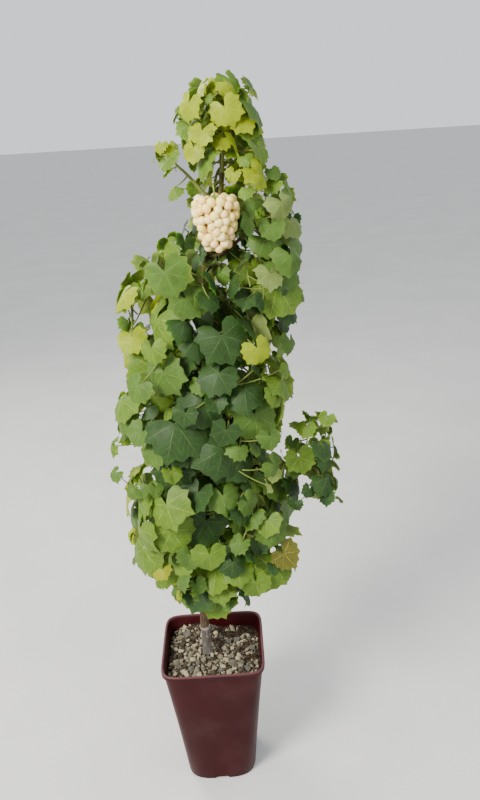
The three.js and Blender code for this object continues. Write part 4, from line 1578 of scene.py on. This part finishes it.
def build_pot(material):
    work = bmesh.new()
    rows = pot_profile()
    bmesh.ops.create_circle(work, cap_ends=False, segments=POT_SIDES, radius=rows[0][0] * MM)
    bmesh.ops.translate(work, verts=work.verts, vec=(0, 0, rows[0][1] * MM))
    edges = list(work.edges)
    bmesh.ops.holes_fill(work, edges=edges, sides=0)
    for before, row in zip(rows, rows[1:]):
        made = bmesh.ops.extrude_edge_only(work, edges=edges)["geom"]
        verts = [item for item in made if isinstance(item, bmesh.types.BMVert)]
        edges = [item for item in made if isinstance(item, bmesh.types.BMEdge)]
        wider = row[0] / before[0]
        bmesh.ops.scale(work, verts=verts, vec=(wider, wider, 1))
        bmesh.ops.translate(work, verts=verts, vec=(0, 0, (row[1] - before[1]) * MM))
    bmesh.ops.holes_fill(work, edges=edges, sides=0)
    press_square(work.verts)
    bmesh.ops.recalc_face_normals(work, faces=work.faces)
    piece = add_piece("pot_shell", work_to_mesh(work, "pot_shell"), POT_SHARP)
    cut_notches(piece)
    piece.data.set_sharp_from_angle(angle=POT_SHARP * DEGREE)
    piece.data.materials.append(material)
    finish_piece(piece, "pot", "pot")


def cut_notches(piece):
    """Cuts a low arch through the bottom edge of each side."""
    work = bmesh.new()
    for side in range(4):
        turn = Matrix.Rotation(side * math.pi / 2, 4, "Z")
        place = Matrix.Translation((0, BASE_HALF * MM, 0))
        lay = Matrix.Rotation(math.pi / 2, 4, "X")
        flatten = Matrix.Diagonal((NOTCH_WIDTH / 2 * MM, 1, NOTCH_HEIGHT * MM, 1))
        bmesh.ops.create_cone(
            work, cap_ends=True, segments=NOTCH_SIDES, radius1=1, radius2=1,
            depth=2 * NOTCH_DEPTH * MM, matrix=turn @ place @ flatten @ lay,
        )
    cutter = add_object("notch_cutter", work_to_mesh(work, "notch_cutter"))
    cut = piece.modifiers.new("notches", "BOOLEAN")
    cut.operation = "DIFFERENCE"
    cut.solver = "EXACT"
    cut.object = cutter
    shaped = piece.evaluated_get(bpy.context.evaluated_depsgraph_get())
    result = bpy.data.meshes.new_from_object(shaped)
    piece.modifiers.clear()
    piece.data = result
    bpy.data.objects.remove(cutter)


# Grit on the compost: the tones of its chips, and the count and radii of each size. Chips
# are a few shapes, each a block cut by some planes
GRIT = {
    "grit_cream": (146, 138, 112),
    "grit_warm": (110, 104, 86),
    "grit_grey": (86, 84, 74),
    "grit_brown": (62, 54, 42),
}
GRIT_SIZES = ((100, 4.6, 8.0), (260, 2.6, 4.6), (560, 1.2, 2.4))
GRIT_TRIES = 14
GRIT_PACKING = 0.86
GRIT_SINK = 0.15
GRIT_SEED = 419
GRIT_LEAN = 1.3
CHIP_SHAPES = 7
CHIP_CUTS = 7
CHIP_BLOCK = 1.7
CHIP_PLANES = (0.6, 0.95)
CHIP_STRETCH = ((0.85, 1.2), (0.75, 1.0), (0.55, 0.85))
CHIP_TIP = 0.6
DULLED_FROM = 4
DULLED_BY = 0.09
# Patches without grit: their size, the level of each size of chip and the tilt across the pot.
# The tilt bares more dark compost towards the back right as painted shade
BARE_PATCH = 26
BARE_LEVEL = (0.2, 0.25, 0.4)
BARE_SHADE_TILT = 0.3
# Heaps of compost: middle, spread and height of each
HEAPS = (((-34, 70), 34, 19), ((-12, -4), 26, 11), ((48, -58), 30, 5), ((-62, -40), 30, 3))
HEAP_ROUGHNESS = 2.4
HEAP_GRAIN = 15
HEAP_LEVEL = 60
HEAP_LEAST = 0.5
HEAP_RIM_CLEAR = 0.4
CHIP_RIM_CLEAR = 1
HEAP_CELLS = 64
CRUMBS = 900
CRUMB_RADII = (1.0, 2.6)
FOOT_CLEAR = 9


def chip_shapes(chance, dulled):
    """A few angular chips of about unit radius: blocks cut by planes, with edges that are
    dulled or left sharp."""
    shapes = []
    for _ in range(CHIP_SHAPES):
        work = bmesh.new()
        bmesh.ops.create_cube(work, size=CHIP_BLOCK)
        for _ in range(CHIP_CUTS):
            facing = Vector([chance.between(-1, 1) for _ in range(3)]).normalized()
            bmesh.ops.bisect_plane(
                work, geom=work.verts[:] + work.edges[:] + work.faces[:], dist=0.001,
                plane_co=facing * chance.between(*CHIP_PLANES), plane_no=facing,
                clear_outer=True,
            )
            close_rims(work)
        if dulled:
            bmesh.ops.bevel(work, geom=work.edges[:], offset=DULLED_BY, segments=1, profile=0.5,
                            affect="EDGES", material=-1, clamp_overlap=True)
        stretch = [chance.between(*limits) for limits in CHIP_STRETCH]
        bmesh.ops.scale(work, verts=work.verts, vec=stretch)
        bmesh.ops.recalc_face_normals(work, faces=work.faces)
        shapes.append(work_to_shape(work))
    return shapes


def add_chip(heap, chance, shapes, place, radius, material):
    points, faces = shapes[int(chance.draw() * len(shapes))]
    turn = Matrix.Rotation(chance.between(0, 6.28), 3, "Z")
    tip = Matrix.Rotation(chance.between(-CHIP_TIP, CHIP_TIP), 3, "X")
    heap.add(points @ np.array(turn @ tip).T * radius + place, faces, material)


def on_soil(x, y, radius):
    """Whether a chip lies within the pot's wall and clear of the trunk's foot."""
    inner = inner_half(SOIL_TOP) - CHIP_RIM_CLEAR - radius
    foot = TRUNK_COURSE[0][:2]
    across = (abs(x) / inner) ** RIM_CORNERS + (abs(y) / inner) ** RIM_CORNERS
    return across < 1 and math.hypot(x - foot[0], y - foot[1]) > FOOT_CLEAR + radius


def heaped(x, y):
    """How far the compost rises over the soil's level: most round the trunk and behind it."""
    rise = sum(
        height * math.exp(-((x - middle[0]) ** 2 + (y - middle[1]) ** 2) / far**2)
        for middle, far, height in HEAPS
    )
    rough = noise.noise(Vector((x, y, HEAP_LEVEL)) / HEAP_GRAIN)
    return max(HEAP_LEAST, rise + HEAP_ROUGHNESS * rough)


def build_compost(compost):
    """A grid pressed to the pot's outline and raised to the heaps, its underside closed."""
    work = bmesh.new()
    bmesh.ops.create_grid(work, x_segments=HEAP_CELLS, y_segments=HEAP_CELLS, size=1)
    inner = inner_half(SOIL_TOP) - HEAP_RIM_CLEAR
    for vert in work.verts:
        u, v = vert.co.x, vert.co.y
        across = (abs(u) ** RIM_CORNERS + abs(v) ** RIM_CORNERS) ** (1 / RIM_CORNERS)
        pressed = inner * max(abs(u), abs(v)) / max(across, MM)
        x, y = u * pressed, v * pressed
        rise = -1 if vert.is_boundary else heaped(x, y)
        vert.co = Vector((x, y, SOIL_TOP + rise)) * MM
    finish_piece(closed_piece(work, "heaped_compost", compost), "soil")


def build_grit(compost):
    chance = Chance(GRIT_SEED)
    inner = inner_half(SOIL_TOP)
    dulled, plain = chip_shapes(chance, True), chip_shapes(chance, False)
    materials = [grit_material(name, tone(*screen)) for name, screen in GRIT.items()]
    chips, crumbs = Heap(), Heap()
    placed = np.empty((0, 3))
    for (count, low, high), bare in zip(GRIT_SIZES, BARE_LEVEL):
        for _ in range(count):
            radius = chance.between(low, high)
            for _ in range(GRIT_TRIES):
                x, y = (chance.between(-inner, inner) for _ in range(2))
                # Bare compost is likelier towards the back right: painted shade there, over
                # patches that vary at random
                patch = noise.noise(Vector((x, y, 0)) / BARE_PATCH) + BARE_SHADE_TILT * (x + y) / inner
                if not on_soil(x, y, radius) or patch >= bare:
                    continue
                away = np.hypot(placed[:, 0] - x, placed[:, 1] - y)
                if (away > GRIT_PACKING * (placed[:, 2] + radius)).all():
                    break
            else:
                continue
            placed = np.vstack([placed, (x, y, radius)])
            place = (x, y, SOIL_TOP + heaped(x, y) + radius * GRIT_SINK)
            kind = materials[int(chance.draw() ** GRIT_LEAN * len(materials))]
            shapes = dulled if low > DULLED_FROM else plain
            add_chip(chips, chance, shapes, place, radius, kind)
    for _ in range(CRUMBS):
        radius = chance.between(*CRUMB_RADII)
        x, y = (chance.between(-inner, inner) for _ in range(2))
        if on_soil(x, y, radius):
            add_chip(crumbs, chance, plain, (x, y, SOIL_TOP + heaped(x, y)), radius, compost)
    finish_piece(chips.piece("grit", GRIT_SHARP), "soil")
    finish_piece(crumbs.piece("compost_crumbs", GRIT_SHARP), "soil")


# Grapes: berries packed over the bunch's profile, with an inner layer behind them
BERRY_RADIUS = (6.7, 7.9)
BERRY_SPACING = 11
BERRY_LAYERS = ((7, 6000), (17, 1500))
BERRY_SEED = 67
BERRY_LENGTH = (1.0, 1.08)
BERRY_STALK_END = 0.7
BERRY_STALK_RISE = 9
CORE_SHARE = 0.8
CORE_STEPS = 26
CORE_RADII = (2.1, 1.0)
CORE_SIDES = 8
BUNCH_INSET = 7
SKINS = {
    "grape_cream": (255, 226, 150),
    "grape_peach": (255, 212, 140),
    "grape_gold": (252, 222, 128),
}


def bunch_place(t, angle, inset):
    width = np.interp(t, BUNCH_PROFILE[:, 0], BUNCH_PROFILE[:, 1])
    return np.array([
        BUNCH_TOP[0] + (BUNCH_HALF_WIDTH - inset) * width * math.cos(angle),
        BUNCH_TOP[1] + (BUNCH_HALF_DEPTH - inset) * width * math.sin(angle),
        BUNCH_TOP[2] - BUNCH_INSET - (BUNCH_HEIGHT - 2 * BUNCH_INSET) * t,
    ])


def build_bunch():
    chance = Chance(BERRY_SEED)
    work = bmesh.new()
    bmesh.ops.create_icosphere(work, subdivisions=2, radius=1)
    points, faces = work_to_shape(work)
    skins = [grape_material(name, tone(*screen)) for name, screen in SKINS.items()]
    berries, stalks = Heap(), Heap()
    placed = []
    for inset, darts in BERRY_LAYERS:
        for _ in range(darts):
            place = bunch_place(chance.draw(), chance.between(0, FULL_TURN), inset)
            if all(((place - other) ** 2).sum() > BERRY_SPACING**2 for other in placed):
                placed.append(place)
    for place in placed:
        radius = chance.between(*BERRY_RADIUS)
        size = [radius, radius, radius * chance.between(*BERRY_LENGTH)]
        berries.add(points * size + place, faces, skins[int(chance.draw() * len(skins))])
        height = min(place[2] + BERRY_STALK_RISE, BUNCH_TOP[2])
        core = np.array([BUNCH_TOP[0], BUNCH_TOP[1], height])
        stalks.add(*shoot(core, place, BERRY_STALK_END), YOUNG_SHOOT)
    root = trunk_at(PEDUNCLE_ROOT)[1]
    course = np.array([root, BUNCH_TOP + PEDUNCLE_BEND, BUNCH_TOP,
                       BUNCH_TOP - [0, 0, BUNCH_HEIGHT * CORE_SHARE]])
    path = course_points(course, np.linspace(0, 1, CORE_STEPS))
    stalks.add(*tube(path, np.linspace(*CORE_RADII, CORE_STEPS), CORE_SIDES), YOUNG_SHOOT)
    finish_piece(berries.piece("grapes", BERRY_SHARP), "grape", "grape_bunch")
    finish_piece(stalks.piece("grape_stalks"), "grape", "grape_bunch")


def dress_soil(compost):
    node = frame["nodes"]["soil"]
    node.data.materials.clear()
    node.data.materials.append(compost)


# Camera, lights and floor
CAMERA_PLACE = (0.0838, -1.3066, 1.2805)
CAMERA_PITCH = 20.523
CAMERA_ROLL = 3.609
FOCAL_PIXELS = 790.69
PHOTO_HEIGHT = 800
SENSOR = 36
LIT_PLACE = (0.02, 0, 0.8)
LIGHTS = {
    "key": ((-1.6, -1.9, 2.5), 1.2, 225, (1.0, 0.96, 0.9)),
    "fill": ((2.0, -1.4, 1.5), 1.8, 20, (0.92, 0.96, 1.0)),
    "back": ((-1.2, 1.8, 2.3), 1.2, 60, (1.0, 0.95, 0.86)),
}
SKY_COLOUR = (0.93, 0.96, 1.0, 1)
SKY_STRENGTH = 1.12
FLOOR_HALF = 30


def set_camera():
    data = bpy.data.cameras.new("view")
    data.sensor_width = SENSOR
    data.lens = FOCAL_PIXELS * SENSOR / PHOTO_HEIGHT
    camera = add_object("view", data)
    pitch = Matrix.Rotation((90 - CAMERA_PITCH) * DEGREE, 4, "X")
    roll = Matrix.Rotation(-CAMERA_ROLL * DEGREE, 4, "Z")
    camera.matrix_world = Matrix.Translation(CAMERA_PLACE) @ pitch @ roll
    bpy.context.scene.camera = camera


def add_light(name, place, size, power, colour):
    data = bpy.data.lights.new(name, "AREA")
    data.shape = "DISK"
    data.size = size
    data.energy = power
    data.color = colour
    light = add_object(name, data)
    light.location = place
    light.rotation_mode = "QUATERNION"
    aim = Vector(LIT_PLACE) - Vector(place)
    light.rotation_quaternion = aim.to_track_quat("-Z", "Y")


def set_stage():
    world = bpy.data.worlds.new("studio")
    bpy.context.scene.world = world
    world.use_nodes = True
    sky = world.node_tree.nodes["Background"].inputs
    sky["Color"].default_value = SKY_COLOUR
    sky["Strength"].default_value = SKY_STRENGTH
    for name, settings in LIGHTS.items():
        add_light(name, *settings)
    work = bmesh.new()
    bmesh.ops.create_grid(work, x_segments=1, y_segments=1, size=FLOOR_HALF)
    floor = add_object("floor", work_to_mesh(work, "floor"))
    material, tree, shader, places = new_material("floor_paper", 0.9)
    mottle = mottled(tree, places, 3.0, *tones(FLOOR_TONES))
    tree.links.new(mottle["Colour"], shader.inputs["Base Color"])
    floor.data.materials.append(material)


set_camera()
set_stage()
dress_leaves()
compost = compost_material()
dress_soil(compost)
build_pot(pot_material())
build_compost(compost)
build_grit(compost)
build_trunk()
for mass in masses:
    if mass.bough is not None:
        build_bough(mass)
for index, mass in enumerate(masses):
    dress_mass(mass, index)
build_bunch()
